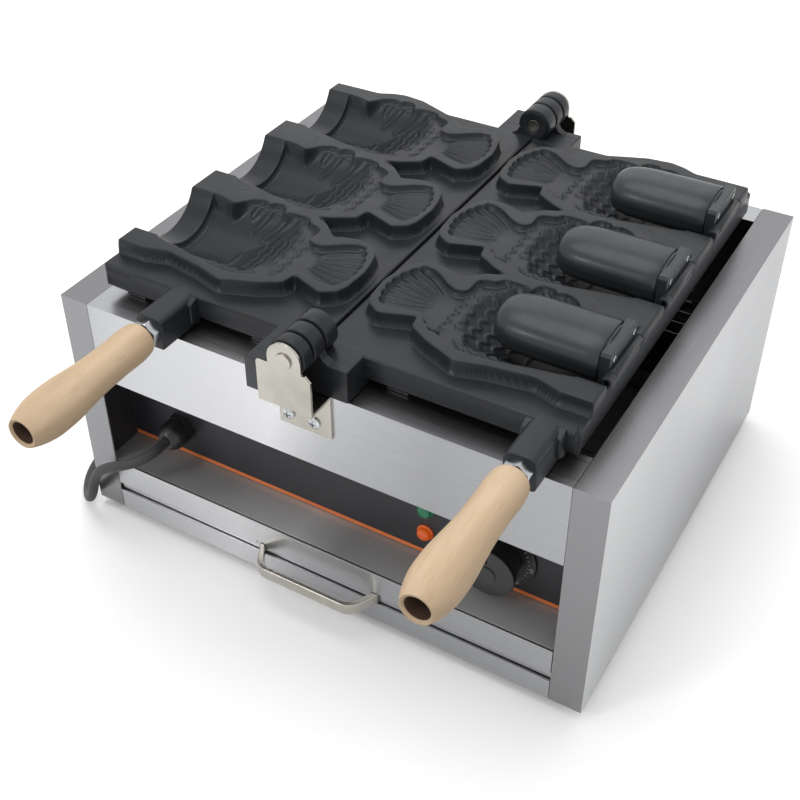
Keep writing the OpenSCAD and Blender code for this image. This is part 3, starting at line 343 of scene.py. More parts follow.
def roundEdges(piece, width, steps=2):
    # a bevel of that width in millimetres on every edge sharper than 30 degrees, then applied
    bevel = piece.modifiers.new("rounding", "BEVEL")
    bevel.width = width * 0.001
    bevel.segments = steps
    bevel.limit_method = "ANGLE"
    bevel.angle_limit = math.radians(30)
    bevel.miter_outer = "MITER_ARC"
    bevel.use_clamp_overlap = True
    applyModifiers(piece)
    settle(piece, 40)
    # large flat faces keep their own direction, and the shading turns on the bevels only
    piece.modifiers.new("flatFaces", "WEIGHTED_NORMAL").keep_sharp = True
    applyModifiers(piece)


def applyModifiers(piece):
    shown = piece.evaluated_get(bpy.context.evaluated_depsgraph_get())
    mesh = bpy.data.meshes.new_from_object(shown)
    piece.modifiers.clear()
    piece.data = mesh


def fromCad(node, material, body, width=0.5, steps=2):
    # the CAD node's own form with its edges rounded as the real piece's are
    piece = addObject(node + "Finished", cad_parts[node].data.copy())
    piece.data.materials.clear()
    piece.data.materials.append(material)
    work = bmesh.new()
    work.from_mesh(piece.data)
    bmesh.ops.remove_doubles(work, verts=work.verts, dist=2e-6)
    if width > 0:
        bmesh.ops.dissolve_limit(work, angle_limit=math.radians(0.6), verts=work.verts,
                                 edges=work.edges)
    work.to_mesh(piece.data)
    work.free()
    if width > 0:
        roundEdges(piece, width, steps)
    else:
        settle(piece)
    return mountPiece(piece, body, node)


def join(name, pieces):
    # several meshes into one object
    work = bmesh.new()
    materials = []
    for piece in pieces:
        start = len(work.faces)
        work.from_mesh(piece.data)
        work.faces.ensure_lookup_table()
        slot = piece.data.materials[0]
        if slot not in materials:
            materials.append(slot)
        for face in work.faces[start:]:
            face.material_index = materials.index(slot)
    mesh = bpy.data.meshes.new(name)
    work.to_mesh(mesh)
    work.free()
    for piece in pieces:
        bpy.data.objects.remove(piece)
    for slot in materials:
        mesh.materials.append(slot)
    return addObject(name, mesh)


def prism(name, outline, low, high, width=0.0, steps=2, axis="y", material=castCoat):
    # an outline pushed along one axis, with its edges rounded; the outline is in the two other
    # axes' order
    order = {"y": lambda p, t: (p[0], t, p[1]), "x": lambda p, t: (t, p[0], p[1])}[axis]
    n = len(outline)
    points = [order(p, low) for p in outline] + [order(p, high) for p in outline]
    faces = [list(range(n)), list(range(2 * n - 1, n - 1, -1))]
    faces += [[i, (i + 1) % n, (i + 1) % n + n, i + n] for i in range(n)]
    piece = newPiece(name, points, faces, material)
    if width:
        roundEdges(piece, width, steps)
    return piece


def lathe(name, centre, profile, material, axis="y", steps=64, smooth=35):
    # a profile of (radius, distance along the axis), turned about a line through centre
    points = []
    faces = []
    n = len(profile)
    for i in range(steps):
        turn = 2 * math.pi * i / steps
        for r, along in profile:
            a, b = r * math.cos(turn), r * math.sin(turn)
            shift = {"y": (a, along, b), "x": (along, a, b)}[axis]
            points.append([c + s for c, s in zip(centre, shift)])
    for i in range(steps):
        j = (i + 1) % steps
        for k in range(n - 1):
            faces.append([i * n + k, j * n + k, j * n + k + 1, i * n + k + 1])
    return newPiece(name, points, faces, material, smooth)


def smoothLine(points, steps):
    # a Catmull-Rom curve through the points
    last = len(points) - 1
    line = []
    for i in range(last):
        near = [points[min(max(i + k, 0), last)] for k in (-1, 0, 1, 2)]
        a, b, c, d = [np.array(p, float) for p in near]
        for j in range(steps):
            t = j / steps
            line.append(0.5 * (2 * b + (c - a) * t + (2 * a - 5 * b + 4 * c - d) * t * t
                               + (3 * b - a - 3 * c + d) * t ** 3))
    return line + [np.array(points[-1], float)]


# mains lead

lead = {
    "radius": 4.0, "restZ": 4.1, "coilCentre": (-300, 198), "coilRadius": 52.0, "coilStep": 8.6,
    "coilTurns": 1.75, "climbTurns": 0.5, "climbPinch": 1.2, "layerRise": 8.6, "tieRise": 1.2,
    "pointsPerTurn": 48,
    "run": [
        (-144, 13, 84), (-144, 5, 84), (-144.8, -2, 83.6), (-147.5, -8.5, 82.4),
        (-152.5, -13.5, 80.2), (-159.5, -16.5, 77), (-168, -17.8, 72.6), (-177, -18, 67),
        (-185.5, -17.6, 60), (-192, -17, 51.5), (-196.5, -16.5, 42), (-200, -16, 32.5),
        (-204.5, -14.5, 23), (-211, -11, 14.6), (-219, -5, 8.4), (-227, 3, 5.2),
        (-234, 12.5, 4.2), (-239.5, 23.5, 4.1), (-243.5, 36, 4.1), (-246, 50, 4.1),
        (-247.4, 66, 4.1), (-248, 84, 4.1), (-248, 104, 4.1), (-248, 124, 4.1),
        (-248, 144, 4.1), (-248, 164, 4.1), (-248, 182, 4.1), (-248, 190, 4.1)],
    "tail": [
        (-248, 206, 12.7), (-248, 214, 12.7), (-247.6, 226, 12.4), (-246.6, 238, 12.6),
        (-245.4, 250, 13.8), (-244.6, 262, 15.6), (-244.2, 272, 17), (-244, 280, 17.6)]}


def coilPoint(turn):
    # in on the surface, up a layer in half a turn, out again; it lifts over the tie
    climb = min(1, max(0, (turn - lead["coilTurns"]) / lead["climbTurns"]))
    inward = min(turn, lead["coilTurns"], 2 * lead["coilTurns"] + lead["climbTurns"] - turn)
    r = lead["coilRadius"] - lead["climbPinch"] * math.sin(math.pi * climb)
    r -= lead["coilStep"] * inward
    angle = 2 * math.pi * turn
    overTie = lead["tieRise"] * max(0, math.sin(-angle)) ** 6
    z = lead["restZ"] + lead["layerRise"] * climb + overTie
    cx, cy = lead["coilCentre"]
    return (cx + r * math.cos(angle), cy + r * math.sin(angle), z)


def makeLead():
    turns = 2 * lead["coilTurns"] + lead["climbTurns"]
    perTurn = lead["pointsPerTurn"]
    coil = [coilPoint(i / perTurn) for i in range(1, int(turns * perTurn))]
    path = smoothLine(lead["run"], 4) + coil + smoothLine(lead["tail"], 4)
    curve = bpy.data.curves.new("mainsLead", "CURVE")
    curve.dimensions = "3D"
    curve.bevel_depth = lead["radius"] * 0.001
    curve.bevel_resolution = 5
    line = curve.splines.new("POLY")
    line.points.add(len(path) - 1)
    for point, place in zip(line.points, path):
        point.co = (*spot(*place), 1)
    line.use_smooth = True
    curve.materials.append(leadRubber)
    piece = addObject("mainsLead", curve)
    places = [spot(*p) for p in path]
    length = sum((b - a).length for a, b in zip(places, places[1:]))
    return mountPiece(piece, "cabinet", "power_cord", "cord_coil", "cord_tail"), length


leadPiece, leadLength = makeLead()
plugPiece = fromCad("mains_plug", knobPlastic, "cabinet", 0.8, 3)
tiePiece = fromCad("cord_tie", strapNylon, "cabinet", 0.3, 2)
print("lead", round(leadLength, 3), "m")

# moulds: the top of each half is one surface, worked out from its fish outlines; a cell under
# 0.8 mm would take a plate past 200,000 triangles

mold = {
    "seam": 0.9, "edge": 180.5, "front": 17.0, "back": 338.0, "cell": 0.81, "border": 1.3,
    "chamfer": 7.0, "corner": 3.0, "bellyX": 126.0, "bellyDepth": 26.0, "bowlRadius": 80.0,
    "flankRadius": 42.0, "shelf": 5.0, "shelfBlend": 5.0, "pocket": (62.5, -33.5),
    "pocketRadius": 5.5, "pocketDepth": 4.0, "mouthWidth": 33.0, "mouthDepth": 21.5,
    "mouthLip": 0.5, "saddleX": 160.0, "gather": 2.8, "edgeRound": 0.55, "wallSlope": 1.1,
    "rimFoot": 0.7, "hollowFoot": 1.1, "fishReach": 70, "coreWallX": 176.9, "coreWallHalf": 31,
    "coreWallZ": 237.2,
    "tailRoot": (58.0, -4.0), "tailReach": 46.0, "tailMiddle": 171.7, "tailStep": 10.9,
    "lobe": 1.7, "tailSpread": 66, "bevel": 1.5,
    "fishBack": [
        (160.5, 33.2), (149, 32), (140, 29.6), (136.4, 32), (133, 36.2), (129.5, 40), (123, 43.3),
        (117.5, 42.8), (114.8, 41.4), (111, 44.6), (104.5, 44.6), (100.4, 41), (98.6, 36.9),
        (92, 38.9), (83, 39), (77.5, 37.6), (74, 33.8), (67, 31.4), (63, 28), (62.6, 21),
        (62.2, 15.4), (58.5, 12.4), (53, 12.4), (47.5, 14.9), (41, 19.6), (35, 23.6), (29.5, 25.8)],
    "belly": [
        (19.5, -26.4), (30, -25.6), (41, -23.4), (47.5, -23.4), (51.2, -26.4), (54.6, -31),
        (57.9, -32.4), (60.4, -36.4), (67, -37.6), (75, -42), (85, -45.5), (96, -46.5),
        (109, -44.6), (123, -42), (138, -38.5), (150, -36.5), (160.5, -34)],
    "outer": [
        (186, 47), (139, 47.6), (129, 52.4), (118, 55), (99, 52.8), (63.5, 38.6), (50.5, 26.6),
        (43.5, 29.8), (32, 32.6), (20.5, 30.4), (13, 22), (9.4, 9), (7.7, -2), (9.2, -22.4),
        (12.6, -30), (22.6, -36.3), (47.4, -27.4), (49.8, -38.6), (65.4, -47.8), (77.8, -52.4),
        (89, -57.2), (110.4, -51), (140.4, -46.4), (158.6, -51.8), (186, -51.8)]}


def tailEdge():
    # the end of the tail is an arc of lobes about the tail's root
    points = []
    steps = 36
    for i in range(steps + 1):
        turn = mold["tailMiddle"] - mold["tailSpread"] / 2 + i * mold["tailSpread"] / steps
        notch = 1 - abs(math.cos(math.pi * (turn - mold["tailMiddle"]) / mold["tailStep"]))
        reach = mold["tailReach"] - mold["lobe"] * notch ** 1.5
        points.append((mold["tailRoot"][0] + reach * math.cos(math.radians(turn)),
                       mold["tailRoot"][1] + reach * math.sin(math.radians(turn))))
    return points


def bevelled(outline, cut):
    # every corner replaced by a small chamfer
    points = [np.array(p, float) for p in outline]
    trimmed = []
    for before, here, after in zip(points[-1:] + points[:-1], points, points[1:] + points[:1]):
        for other in (before, after):
            trimmed.append(here + (other - here) * min(0.3, cut / np.hypot(*(other - here))))
    return trimmed


hollowEdge = smoothLine(mold["fishBack"], 4) + tailEdge() + smoothLine(mold["belly"], 4)
rimEdge = bevelled(mold["outer"], mold["bevel"])


def ease(t):
    t = np.clip(t, 0, 1)
    return t * t * (3 - 2 * t)


def nearestOn(x, y, outline):
    # signed distance to a closed outline, negative inside it, and the nearest place on it
    points = np.array(outline)
    best = np.full(x.shape, 1e9)
    atX, atY = x.copy(), y.copy()
    inside = np.zeros(x.shape, bool)
    for a, b in zip(points, np.roll(points, -1, axis=0)):
        along = b - a
        t = ((x - a[0]) * along[0] + (y - a[1]) * along[1]) / max(along @ along, 1e-12)
        t = np.clip(t, 0, 1)
        px, py = a[0] + t * along[0], a[1] + t * along[1]
        away = (x - px) ** 2 + (y - py) ** 2
        closer = away < best
        best = np.where(closer, away, best)
        atX, atY = np.where(closer, px, atX), np.where(closer, py, atY)
        crosses = (a[1] > y) != (b[1] > y)
        if a[1] != b[1]:
            inside ^= crosses & (x < a[0] + (y - a[1]) / (b[1] - a[1]) * along[0])
    return np.where(inside, -1, 1) * np.sqrt(best), atX, atY


def gather(x, y, away, atX, atY, held):
    # draws the points near an outline towards it, so that its walls come out crisp
    share = np.clip(np.abs(away) / mold["gather"], 1e-6, 1)
    pull = np.where(held | (share >= 1), 1.0, share ** 1.2)
    return atX + (x - atX) * pull, atY + (y - atY) * pull, away * pull


def softLeast(a, b, run=5.0):
    # the smaller of two, rounded where they are alike
    share = np.clip(0.5 + 0.5 * (b - a) / run, 0, 1)
    return a * share + b * (1 - share) - run * share * (1 - share)


def wall(away, low, high, foot):
    # height across a wall: high on its near side and low beyond it, with a rounded top edge and
    # foot, both smaller where the wall is low
    half = np.maximum(high - low, 0) / 2
    r, foot, slope = np.minimum(mold["edgeRound"], half), np.minimum(foot, half), mold["wallSlope"]
    edge = high - r + np.sqrt(np.maximum(r * r - np.clip(away + r, 0, r) ** 2, 0))
    side = high - r + (low + foot - high + r) * np.clip(away / slope, 0, 1)
    beyond = np.clip(slope + foot - away, 0, foot)
    base = low + foot - np.sqrt(np.maximum(foot ** 2 - beyond ** 2, 0))
    return np.where(away < 0, edge, np.where(away < slope, side, np.maximum(base, low)))


def ridge(x, y, start, end, width, sag=0.0):
    # height from 0 to 1 of a rounded rib between two places, bowed sideways by sag
    a, b = np.array(start, float), np.array(end, float)
    along = b - a
    length = math.hypot(*along)
    u = ((x - a[0]) * along[0] + (y - a[1]) * along[1]) / length
    w = ((y - a[1]) * along[0] - (x - a[0]) * along[1]) / length
    t = np.clip(u / length, 0, 1)
    w = w - sag * 4 * t * (1 - t)
    beyond = np.maximum(0, np.maximum(-u, u - length))
    return ease(1.6 * (1 - np.hypot(w, beyond) / width))


relief = {
    "fanHeight": 2.0, "fanEnd": 52,
    # gill covers and fin rays: from, to, half width
    "bars": [((125, 33), (114.5, 45.5), 2.6), ((121, 24.5), (103.5, 45.5), 2.7),
             ((109, 22.5), (94, 38.5), 2.6), ((96, 21), (85.5, 35), 2.4),
             ((86.4, 29.5), (80.3, 38), 2.0), ((83, 19.5), (77.5, 25.5), 2.0)],
    "barHeight": 1.6, "rays": 4, "rayStart": (78, -33), "rayEnd": (87, -40.5), "rayStep": 9.5,
    "rayDrop": (0.8, 0.6), "rayHeight": 1.2, "rayWidth": 2.0, "raySag": -0.7,
    "scaleRows": 6, "rowStep": 8.2, "scaleStep": 11, "scaleStart": (68, -22), "scaleRadius": 5.9,
    "scaleRise": 3.4, "scaleDrop": 0.7, "scaleTurn": 86, "scaleHeight": 1.3, "scaleFade": 0.16,
    "gillPlace": (150, -4), "gillRadius": 33, "gillWidth": 2.2, "gillHeight": 0.9, "gillEnd": 118.5}


def scale(x, y, centre):
    # one overlapping scale: rises slowly to its round edge and drops there
    dx, dy = x - centre[0], y - centre[1]
    turn = np.abs((np.degrees(np.arctan2(dy, dx)) + 360) % 360 - 180)
    away = np.hypot(dx, dy) - relief["scaleRadius"]
    rise = np.where(away < 0, ease(1 + away / relief["scaleRise"]),
                    ease(1 - away / relief["scaleDrop"]))
    return rise * ease((relief["scaleTurn"] - turn) / 22)


def fishRelief(x, v):
    # the fins, scales and gill of one fish, in millimetres above its smooth floor
    dx, dy = x - mold["tailRoot"][0], v - mold["tailRoot"][1]
    reach = np.hypot(dx, dy)
    turn = np.degrees(np.arctan2(dy, dx)) % 360 - mold["tailMiddle"]
    turn = turn / (1 + 0.5 * np.clip(1 - reach / 42, 0, 1)) / mold["tailStep"]
    crest = 1 - np.abs(np.cos(np.pi * turn))
    fan = relief["fanHeight"] * crest ** 0.85 * ease((reach - 6) / 9)
    height = np.where(np.abs(turn) < 3.2, fan * ease((relief["fanEnd"] - x) / 10), 0)
    for start, end, width in relief["bars"]:
        height = np.maximum(height, relief["barHeight"] * ridge(x, v, start, end, width))
    for i in range(relief["rays"]):
        start, end = [(place[0] + i * relief["rayStep"], place[1] - i * drop) for place, drop in
                      zip((relief["rayStart"], relief["rayEnd"]), relief["rayDrop"])]
        ray = ridge(x, v, start, end, relief["rayWidth"], relief["raySag"])
        height = np.maximum(height, relief["rayHeight"] * ray)
    firstX, firstY = relief["scaleStart"]
    for row in range(relief["scaleRows"]):
        odd = row % 2
        strength = relief["scaleHeight"] - relief["scaleFade"] * row
        for i in range(5 - odd):
            centre = (firstX + row * relief["rowStep"],
                      firstY + (i + odd / 2) * relief["scaleStep"])
            height = np.maximum(height, strength * scale(x, v, centre))
    gillX, gillY = relief["gillPlace"]
    ring = np.hypot(x - gillX, v - gillY) - relief["gillRadius"]
    gill = ease(1 - np.abs(ring) / relief["gillWidth"])
    ahead = ease((relief["gillEnd"] - np.abs(v - gillY) * 0.25 - x + 6) / 6)
    return np.maximum(height, relief["gillHeight"] * gill * ahead)


# the mouth is part of a round trough
mouthRadius = (mold["mouthWidth"] ** 2 + mold["mouthDepth"] ** 2) / (2 * mold["mouthDepth"])


def mouthFloor(v):
    middle = jointZ + mouthRadius - mold["mouthDepth"]
    return middle - np.sqrt(np.maximum(mouthRadius ** 2 - v ** 2, 0))


def hollowFloor(x, v):
    # a bowl for the body, which meets a shallow floor for the tail and the fins
    towardsTail = np.maximum(mold["bellyX"] - x, 0)
    bowlSide = np.maximum(mold["bowlRadius"] ** 2 - towardsTail ** 2 - v ** 2, 1)
    bowl = mold["bowlRadius"] - np.sqrt(bowlSide)
    flank = mold["flankRadius"] - np.sqrt(np.maximum(mold["flankRadius"] ** 2 - v ** 2, 1))
    rise = np.maximum(flank, np.where(x < mold["bellyX"], bowl, 0))
    body = jointZ - mold["bellyDepth"] + rise
    shelf = jointZ - mold["shelf"] + 0.02 * np.abs(v)
    # the two run into each other over a few millimetres
    blend = np.clip(0.5 + (shelf - body) / mold["shelfBlend"], 0, 1)
    floor = body * blend + shelf * (1 - blend) - mold["shelfBlend"] / 4 * blend * (1 - blend)
    pocketX, pocketY = mold["pocket"]
    pocket = ease(1 - np.hypot(x - pocketX, v - pocketY) / mold["pocketRadius"])
    return floor - mold["pocketDepth"] * pocket


def nearestFish(x, y, outline, least):
    # an outline that is repeated at each fish: distance, nearest place and that fish's middle
    best = np.full(x.shape, 1e3)
    atX, atY, middle = x.copy(), y.copy(), np.zeros(x.shape)
    for place in fishPlaces:
        near = np.abs(y - place) < mold["fishReach"]
        away, ax, ay = nearestOn(x[near], y[near] - place, outline)
        closer = away < best[near]
        best[near] = least(best[near], away)
        atX[near] = np.where(closer, ax, atX[near])
        atY[near] = np.where(closer, ay + place, atY[near])
        middle[near] = np.where(closer, place, middle[near])
    return best, atX, atY, middle


def moldTop(x, y, coreWall, held):
    # the upper surface of the half on the right, with its points gathered along its edges
    rim, rimX, rimY, _ = nearestFish(x, y, rimEdge, softLeast)
    hollow, hollowX, hollowY, middle = nearestFish(x, y, hollowEdge, np.minimum)
    outerX, outerY, rim = gather(x, y, rim, rimX, rimY, held)
    innerX, innerY, hollow = gather(x, y, hollow, hollowX, hollowY, held)
    inner = np.abs(hollow) < np.abs(rim)
    x = np.clip(np.where(inner, innerX, outerX), mold["seam"], mold["edge"])
    y = np.clip(np.where(inner, innerY, outerY), mold["front"], mold["back"])
    v = y - middle
    z = wall(rim, deckZ, jointZ, mold["rimFoot"])
    # the mouth is cut through the rim, then the hollow is sunk inside it
    mouth = np.where(x > mold["saddleX"] - 3, mouthFloor(v), 1e3)
    lip = mold["mouthLip"]
    z = np.where(mouth < z + lip, softLeast(mouth, z, lip), z)
    floor = np.minimum(hollowFloor(x, v) + fishRelief(x, v), z)
    z = wall(-hollow, floor, z, mold["hollowFoot"])
    if coreWall:
        up = ease((x - mold["coreWallX"]) / 0.9) * (np.abs(v) < mold["coreWallHalf"])
        z = z + (np.maximum(z, mold["coreWallZ"]) - z) * up
    border = np.minimum.reduce([x - mold["seam"], mold["edge"] - x, y - mold["front"],
                                mold["back"] - y])
    near = np.clip(1 - border / mold["border"], 0, 1)
    return x, y, z - 1.0 * (1 - np.sqrt(1 - near ** 2))


def makePlate(name, side, coreWall):
    # the surface, its chamfered sides and its flat underside
    lines = [np.linspace(low, high, int(round((high - low) / mold["cell"])) + 1) for low, high in
             ((mold["seam"], mold["edge"]), (mold["front"], mold["back"]))]
    x, y = np.meshgrid(*lines, indexing="ij")
    held = np.ones(x.shape, bool)
    held[1:-1, 1:-1] = False
    x, y, z = moldTop(x, y, coreWall, held)
    # corners drawn in to a small radius
    r = mold["corner"]
    cx = np.clip(x, mold["seam"] + r, mold["edge"] - r)
    cy = np.clip(y, mold["front"] + r, mold["back"] - r)
    dx, dy = x - cx, y - cy
    reach = np.hypot(dx, dy)
    pull = np.where(reach > 0, np.maximum(np.abs(dx), np.abs(dy)) / np.maximum(reach, 1e-9), 1)
    x, y = cx + dx * pull, cy + dy * pull
    index = np.arange(x.size).reshape(x.shape)
    points = np.stack([x.ravel(), y.ravel(), z.ravel()], 1)
    faces = np.stack([index[:-1, :-1], index[1:, :-1], index[1:, 1:], index[:-1, 1:]], -1)
    loop = np.concatenate([index[:-1, 0], index[-1, :-1], index[:0:-1, -1], index[0, :0:-1]])
    edge = points[loop]
    c = mold["chamfer"]
    rings = [(0.0, np.minimum(deckZ - 2.0, edge[:, 2] - 0.8)), (0.0, plateZ + c + 0.9),
             (0.35, plateZ + c - 0.1), (0.9, plateZ + c - 0.8), (c - 0.9, plateZ + 0.8),
             (c - 0.1, plateZ + 0.3), (c + 0.9, plateZ)]
    allPoints = [points]
    allFaces = [faces.reshape(-1, 4)]
    last = loop
    count = len(points)
    for inset, height in rings:
        ring = edge.copy()
        ring[:, 0] = np.minimum(ring[:, 0], mold["edge"] - inset)
        ring[:, 1] = np.clip(ring[:, 1], mold["front"] + inset, mold["back"] - inset)
        ring[:, 2] = height
        here = np.arange(count, count + len(ring))
        count += len(ring)
        allPoints.append(ring)
        allFaces.append(np.stack([last, np.roll(last, -1), np.roll(here, -1), here], 1))
        last = here
    points = np.concatenate(allPoints)
    points[:, 0] *= side
    faceList = np.concatenate(allFaces).tolist() + [last.tolist()]
    return newPiece(name, points.tolist(), faceList, castCoat, 180)


hinge = {"knuckle": 13.5, "bore": 5.05, "gap": 0.4, "clear": 0.7, "lugBack": 24.0,
         "barrels": [(-21, -9.2), (-8.8, 4.6), (5, 20)], "leftLug": -20.0, "rightLug": -3.0}
castLow = plateZ - 1
castTop = deckZ + 0.03  # a hair above the plate that the castings run into
handle = {"left": 112.5, "right": 158.5, "z": 220.0, "front": -17.5, "half": 11.0,
          "gripRoot": -26.0, "gripLength": 112.0, "gripRadius": 16.0}


def mirrored(outline, side):
    return [(p[0] * side, *p[1:]) for p in outline]


def flipRear(y0, y1):
    return (2 * moldMid - y1, 2 * moldMid - y0)


def makeLugs(side, own, other, lugFront):
    # lug, barrels and the hollows that the other half's barrels turn in
    pieces = []
    low, top = castLow, castTop
    lug = [(0.5, low + 2.5), (0.5, top), (32.2, top), (33, top - 0.8), (33, low + 0.4),
           (32.6, low), (3, low)]
    gusset = [(0.5, deckZ - 3), (0.5, hingeZ - 8), (8, hingeZ - 3.5), (12.4, hingeZ - 3.2),
              (15, deckZ + 2.6), (19.5, deckZ), (19.5, deckZ - 3)]
    clear = hinge["knuckle"] + hinge["clear"]
    scooped = [(clear * math.sin(a), hingeZ - clear * math.cos(a))
               for a in np.linspace(math.asin(0.5 / clear), math.acos((hingeZ - top) / clear), 9)]
    scooped = scooped + lug[2:] + lug[:1]
    hollows = [(hinge["barrels"][k][0] - hinge["gap"], hinge["barrels"][k][1] + hinge["gap"])
               for k in other]
    cuts = sorted({lugFront, hinge["lugBack"],
                   *[max(y, lugFront) for pair in hollows for y in pair]})
    for rear in (False, True):
        def place(y0, y1):
            return flipRear(y0, y1) if rear else (y0, y1)
        for y0, y1 in zip(cuts, cuts[1:]):
            hollow = any(start < (y0 + y1) / 2 < end for start, end in hollows)
            outline = mirrored(scooped if hollow else lug, side)
            pieces.append(prism("lug", outline, *place(y0, y1), 0.6))
        for k in own:
            y0, y1 = hinge["barrels"][k]
            r, b = hinge["knuckle"], hinge["bore"]
            length = y1 - y0
            # a groove is turned round each end, so that dark gaps part the barrels
            end = [(b, 0.5), (b + 0.5, 0), (r - 2.6, 0), (r - 2.4, 0.9), (r - 0.7, 1.1),
                   (r - 0.1, 1.5), (r, 2.1)]
            profile = end + [(radius, length - y) for radius, y in end[::-1]] + end[:1]
            start = place(y0, y1)[0]
            pieces.append(lathe("barrel", (0, start, hingeZ), profile, castCoat, "y", 72, 50))
            g0, g1 = place(max(y0, lugFront) + 0.2, y1 - 0.2)
            pieces.append(prism("gusset", mirrored(gusset, side), g0, g1, 0.7))
    return pieces


def makeBoss(side, x):
    # the boss that the handle's rod screws into, with a web at its root
    low, top, half = castLow, castTop, handle["half"]
    corner = [(0, low + 1.5), (0, top - 5), (1.4, top - 2), (5, top)]
    outline = [(x - half + inset, z) for inset, z in corner]
    outline += [(x + half - inset, z) for inset, z in corner[::-1]]
    outline += [(x + half - 1.5, low), (x - half + 1.5, low)]
    boss = prism("boss", mirrored(outline, side), handle["front"], mold["front"] + 6, 1.0, 3)
    web = [(mold["front"] + 2, low + 1), (mold["front"] - 7, low + 6), (mold["front"] - 7, top - 4),
           (mold["front"] + 2, top - 0.4)]
    ends = sorted([side * (x - half - 2.5), side * (x + half + 2.5)])
    return [boss, prism("web", web, *ends, 1.2, 3, "x")]


def makeCoreSeats():
    # the ears that hold each core's rod
    pieces = []
    ear = [(177.6, 226), (177.6, 241), (175.5, 241.8), (175.6, 243.2), (177.2, 244.2),
           (180.2, 244.2), (181.8, 242.9), (181.9, 240.5), (180.6, 237.5), (180.6, 226)]
    for place in fishPlaces:
        for side in (-1, 1):
            y0, y1 = sorted([place + side * 22.4, place + side * 30.0])
            pieces.append(prism("ear", ear, y0, y1, 0.5))
    return pieces


def makeUnderside(side):
    # heater block and the pads that the half rests on
    block = [(8, plateZ + 1), (8, 195), (13, 190), (160, 190), (165, 195), (165, plateZ + 1)]
    pieces = [prism("block", mirrored(block, side), mold["front"] + 17, mold["back"] - 13, 1.5, 3)]
    padLow = 205.3
    for x0, x1, top, front, back, name in (
            (45, 61, plateZ + 1, mold["front"] + 7.5, 29.4, "pad"),
            (152.5, 168.5, plateZ + 1, mold["front"] + 7.5, 29.4, "pad"),
            (6, 29, plateZ, 345, 360, "rearPad")):
        outline = [(x0, padLow), (x0, top), (x1, top), (x1, padLow)]
        pieces.append(prism(name, mirrored(outline, side), front, back, 0.4))
    return pieces


def makeHalf(name, side, own, other, lugFront, handleX, coreWall):
    # the plate, and one piece for everything that is cast on to it
    body, node = ("right_half", "right_mould") if side > 0 else ("left_half", "left_mould")
    pieces = [makePlate(name + "Plate", side, coreWall)]
    fittings = makeLugs(side, own, other, lugFront) + makeBoss(side, handleX)
    fittings += makeUnderside(side) + (makeCoreSeats() if coreWall else [])
    pieces.append(join(name + "Fittings", fittings))
    for piece in pieces:
        mountPiece(piece, body, node)
    return sum(len(piece.data.polygons) for piece in pieces)


# the right half has the middle barrel, the left half the two others, each at both ends
rightFaces = makeHalf("rightMold", 1, [1], [0, 2], hinge["rightLug"], handle["right"], True)
leftFaces = makeHalf("leftMold", -1, [0, 2], [1], hinge["leftLug"], handle["left"], False)
print("moulds made,", rightFaces, "and", leftFaces, "faces")

# mouth cores

core = {
    "nose": 94.2, "bodyEnd": 169.4, "faceX": 177.2, "plateX": 170.2, "half": 24.0, "height": 16.0,
    "plateHalf": 22.0, "plateTop": 13.0, "pinX": 178.7, "pinZ": 241.0, "barrel": 3.4, "bore": 2.05,
    "around": 96, "square": 2.4, "mouthGap": 0.5,
    # how wide the body is, as shares of its length and half width
    "shape": [(0, 0.35), (0.01, 0.5), (0.03, 0.64), (0.06, 0.75), (0.1, 0.84), (0.16, 0.915),
              (0.24, 0.965), (0.34, 0.99), (0.5, 1), (1, 1)]}


def coreSection(t, a):
    # one point of a core: t along it from the nose, a round it in degrees
    grow = float(np.interp(math.sqrt(t), [math.sqrt(p[0]) for p in core["shape"]],
                           [p[1] for p in core["shape"]]))
    if t < 0.01:
        grow *= math.sqrt(1 - (1 - t / 0.01) ** 2) * 0.45 + 0.55
    v, z = [math.copysign(abs(f(math.radians(a))) ** (2 / core["square"]), f(math.radians(a)))
            for f in (math.cos, math.sin)]
    v = core["half"] * v * grow
    z = core["height"] * z * (0.35 * grow + 0.65 * math.sqrt(grow))
    return (v * (1 - 0.035 * min(1, -z / 0.7)) if z < 0 else v), z


